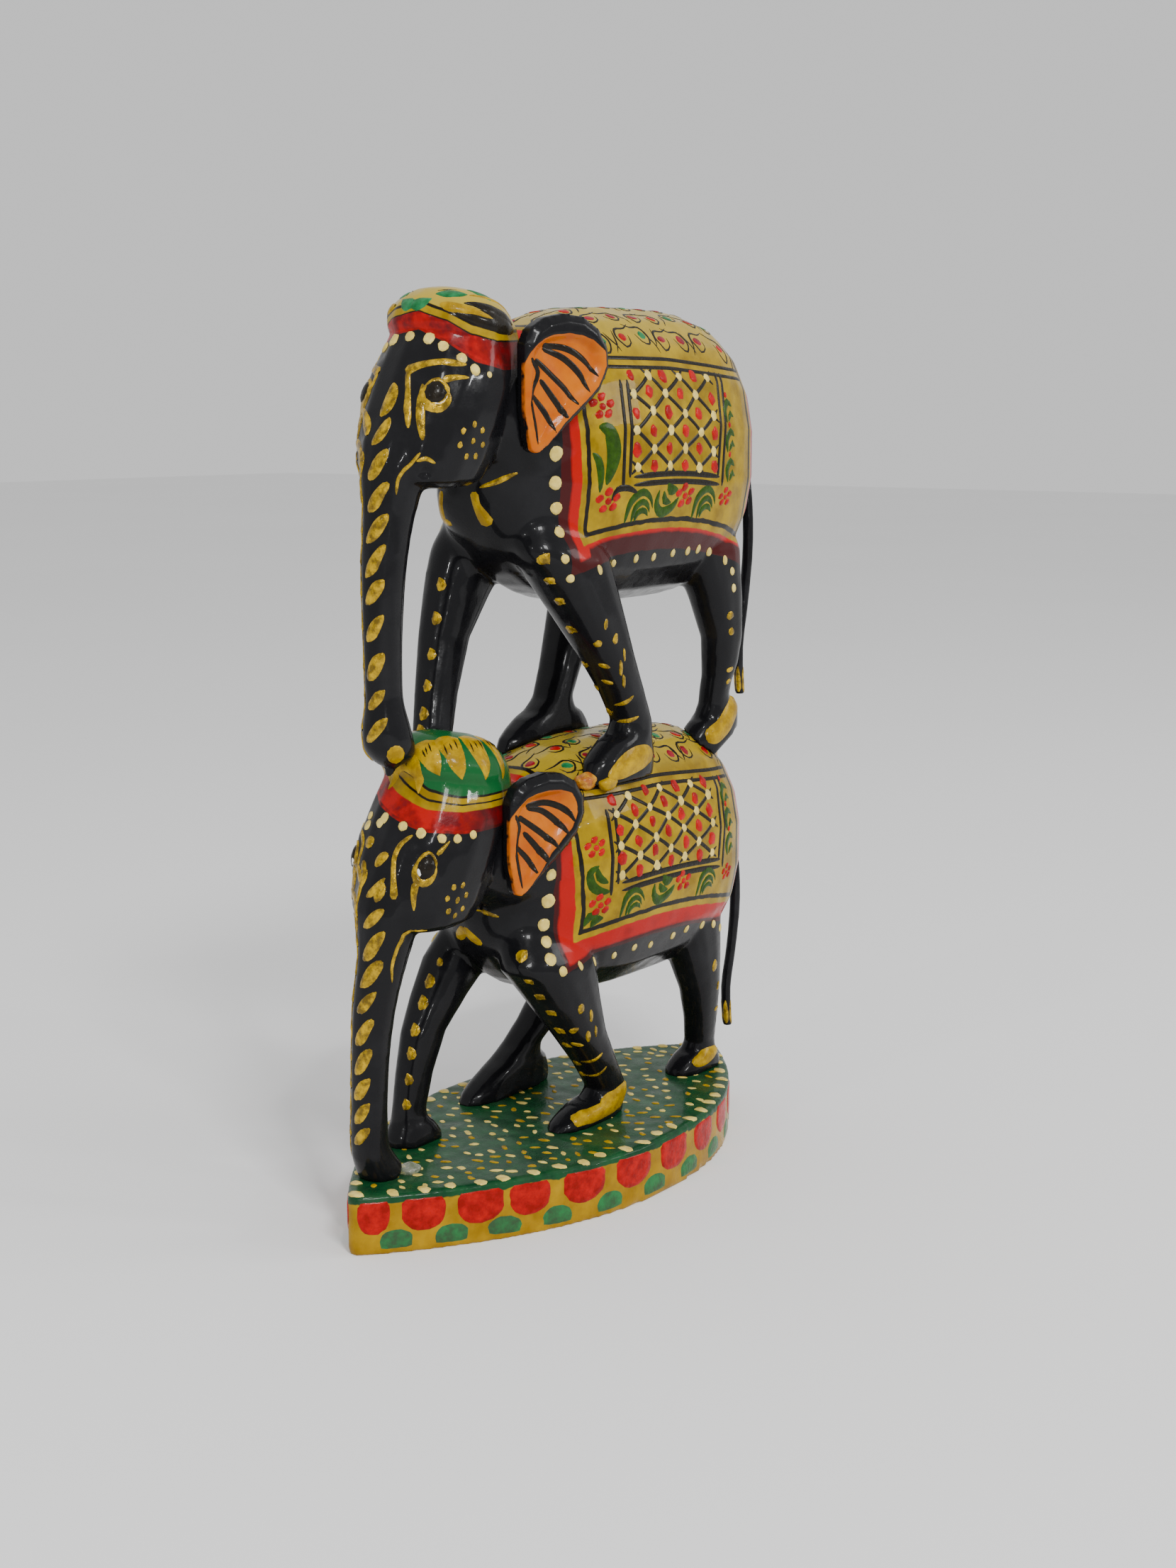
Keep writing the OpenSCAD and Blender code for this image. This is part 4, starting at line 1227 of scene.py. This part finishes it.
def build_plinth():
    """The boat with red tabs under its edge, green half-moons, a beaded rim and scattered flecks."""
    low, high = [np.array(c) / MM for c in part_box("plinth")]
    half_long, half_wide, thick = high[0] + 1, high[1], high[2]
    obj = carve("plinth_carved", "plinth", 0.6, 1)
    obj.data.materials.append(plinth_paint(thick - 1.3))
    brush = Brush(obj)

    def edge(x):
        return float(outline_of(np.array(x), half_long, half_wide))

    xs = np.linspace(low[0] + 0.3, high[0] - 0.3, 900)
    ys = outline_of(xs, half_long, half_wide)
    run = np.concatenate([[0], np.cumsum(np.hypot(np.diff(xs), np.diff(ys)))])
    for side in (-1, 1):
        for x, wide in TABS:
            turn = dice.uniform(-2, 2)
            spot = (x, side * edge(x), thick - 3.5)
            brush.dab("red", spot, wide, 6.3, turn, 0.16, tab_shape(24, 1), 24, FLAT_DROP)
        for x in HALF_MOONS:
            wide, tall, turn = dice.uniform(5.6, 6.6), dice.uniform(3.4, 3.9), dice.uniform(-5, 5)
            brush.dab("leafy", (x, side * edge(x), 2.3), wide, tall, turn, 0.12, tab_shape(20, -1), 20)
        gone = 1.2
        while gone < run[-1] - 1:
            x, y = np.interp(gone, run, xs), np.interp(gone, run, ys)
            spot = brush.from_above(x, side * (y - dice.uniform(1.2, 2.2)), 30)
            wide, tall, turn = dice.uniform(1.7, 2.3), dice.uniform(2.4, 3.1), dice.uniform(60, 120)
            brush.dab("cream", spot, wide, tall, turn, 0.2, brush.uneven(0.18))
            gone += dice.uniform(4.2, 5.6)
    taken = []
    tries = 0
    while len(taken) < 250 and tries < 6000:
        tries += 1
        x = dice.uniform(low[0] + 4, high[0] - 3)
        y = dice.uniform(-1, 1) * max(0, edge(x) - 3.4)
        if all((x - a) ** 2 + (y - b) ** 2 > 5.6 for a, b in taken):
            taken.append((x, y))
            colour = "cream" if dice.random() < 0.55 else "gilt"
            wide, tall, turn = dice.uniform(0.8, 1.3), dice.uniform(1.4, 2.3), dice.uniform(40, 140)
            brush.dab(colour, (x, y, thick), wide, tall, turn, 0.12, brush.uneven(0.25, 8), 8)
    brush.dry("plinth_brushwork")


# ---------- small drops ----------

def drop(name, centre, size, glaze):
    """A hardened drop: a ball squeezed to its size and pulled a little out of round."""
    bpy.ops.object.select_all(action="DESELECT")
    bpy.ops.mesh.primitive_uv_sphere_add(segments=28, ring_count=16, radius=0.5 * MM, location=(0, 0, 0))
    obj = bpy.context.object
    obj.name = name
    where = places(obj)
    x, y, z = where.T
    bumps = 1 + 0.08 * np.sin(x * 9 + 1) * np.cos(y * 8) + 0.06 * np.sin(z * 11)
    put(obj, where * bumps[:, None] * np.array(size) + np.array(centre))
    select_only(obj)
    bpy.ops.object.shade_smooth()
    obj.data.materials.append(glaze)
    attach(obj, "root")


def glue():
    p = Paint("clear_glue")
    p.shader.inputs["Transmission Weight"].default_value = 0.75
    p.shader.inputs["IOR"].default_value = 1.45
    cloudy = p.between(p.mottle(1.0, 3.0), 0.4, 0.7)
    colour = p.mix(cloudy, (0.75, 0.78, 0.6, 1), (0.35, 0.42, 0.25, 1))
    return p.finish(colour, 0.08, 0.6, 0.03, 0.0, p.sum("MULTIPLY", p.mottle(0.8), 0.25))


def filler():
    p = Paint("brown_filler")
    patchy = p.between(p.mottle(1.2, 3.0), 0.4, 0.65)
    colour = p.mix(patchy, (0.36, 0.10, 0.015, 1), (0.60, 0.28, 0.02, 1))
    roughness = p.between(p.mottle(0.8), 0.3, 0.7, 0.25, 0.5)
    return p.finish(colour, roughness, 0.4, 0.1, 0.0, p.sum("MULTIPLY", p.mottle(0.6, 3.0), 0.4))


def bare_wood():
    p = Paint("dowel_wood")
    grain = p.mottle(0.4, 4.0, 0.6, (1, 1, 0.08))
    colour = p.mix(p.between(grain, 0.35, 0.65), (0.42, 0.26, 0.12, 1), (0.66, 0.47, 0.26, 1))
    return p.finish(colour, 0.6, 0.0, 0.3, 0.0, p.sum("MULTIPLY", grain, 0.06))


# ---------- the whole ----------

build_plinth()
paint_elephant(LOWER)
paint_elephant(UPPER)
orange = ear_paint()
for node in ("lower_left_ear", "lower_right_ear", "upper_left_ear", "upper_right_ear"):
    build_ear(node, orange)
black_tail = tail_paint()
for node in ("lower_tail", "upper_tail"):
    build_tail(node, black_tail)
drop("glue_drop", (-38.3, 0.2, 10.3), (4.0, 3.6, 2.6), glue())
drop("filler_lump", (-4.6, -11.4, 72.2), (4.8, 3.2, 3.0), filler())
drop("yellow_lump", (-1.2, -13.4, 71.6), (4.4, 2.6, 2.6), PAINTS["gilt"])
wood = bare_wood()
for node in ("plinth_foot_pegs", "plinth_trunk_peg", "back_foot_pegs"):
    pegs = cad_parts[node]
    for slot in pegs.material_slots:
        slot.material = wood


# ---------- floor, light and camera ----------

LIGHTS = (
    ("key", (-0.45, -0.75, 0.80), 0.22, 7), ("side", (0.65, -0.75, 0.5), 0.3, 2),
    ("glint_front", (-0.62, -0.50, 0.62), 0.03, 0.9), ("glint_high", (-0.25, -0.35, 1.0), 0.03, 1.0),
    ("glint_left", (-0.95, 0.05, 0.45), 0.035, 0.6), ("glint_right", (0.25, -0.85, 0.45), 0.035, 0.6),
    ("glint_low", (-0.75, -0.65, 0.25), 0.03, 0.4))
AIM = Vector((0, 0, 0.08))
DAYLIGHT = 0.78


def build_stage():
    """A pale floor in even light, a soft key and side light, and small lights for sharp glints."""
    bpy.ops.object.select_all(action="DESELECT")
    bpy.ops.mesh.primitive_plane_add(size=6, location=(0, 0, 0))
    floor = bpy.context.object
    floor.name = "floor"
    p = Paint("pale_floor")
    pale = p.mix(p.mottle(300.0), (0.86, 0.86, 0.86, 1), (0.9, 0.9, 0.9, 1))
    floor.data.materials.append(p.finish(pale, 0.7, 0.0))
    world = bpy.context.scene.world or bpy.data.worlds.new("studio")
    bpy.context.scene.world = world
    world.use_nodes = True
    back = world.node_tree.nodes["Background"]
    back.inputs["Color"].default_value = (1, 1, 1, 1)
    back.inputs["Strength"].default_value = DAYLIGHT
    for name, place, size, power in LIGHTS:
        light = bpy.data.lights.new(name, "AREA")
        light.energy, light.size = power, size
        obj = bpy.data.objects.new(name, light)
        obj.location = place
        obj.rotation_euler = (AIM - Vector(place)).to_track_quat("-Z", "Y").to_euler()
        bpy.context.scene.collection.objects.link(obj)


LENS, SENSOR = 48.82, 36
CAMERA_PLACE = (-0.29085, -0.22359, 0.13462)
CAMERA_BACK = Vector((-0.7916, -0.5858, 0.1740))


def build_camera():
    """The camera, upright, with its back turned to CAMERA_BACK."""
    data = bpy.data.cameras.new("camera")
    data.sensor_fit = "VERTICAL"
    data.sensor_height = SENSOR
    data.lens = LENS
    data.clip_start = 0.01
    camera = bpy.data.objects.new("camera", data)
    camera.location = CAMERA_PLACE
    camera.rotation_euler = CAMERA_BACK.to_track_quat("Z", "Y").to_euler()
    bpy.context.scene.collection.objects.link(camera)
    bpy.context.scene.camera = camera


build_stage()
build_camera()
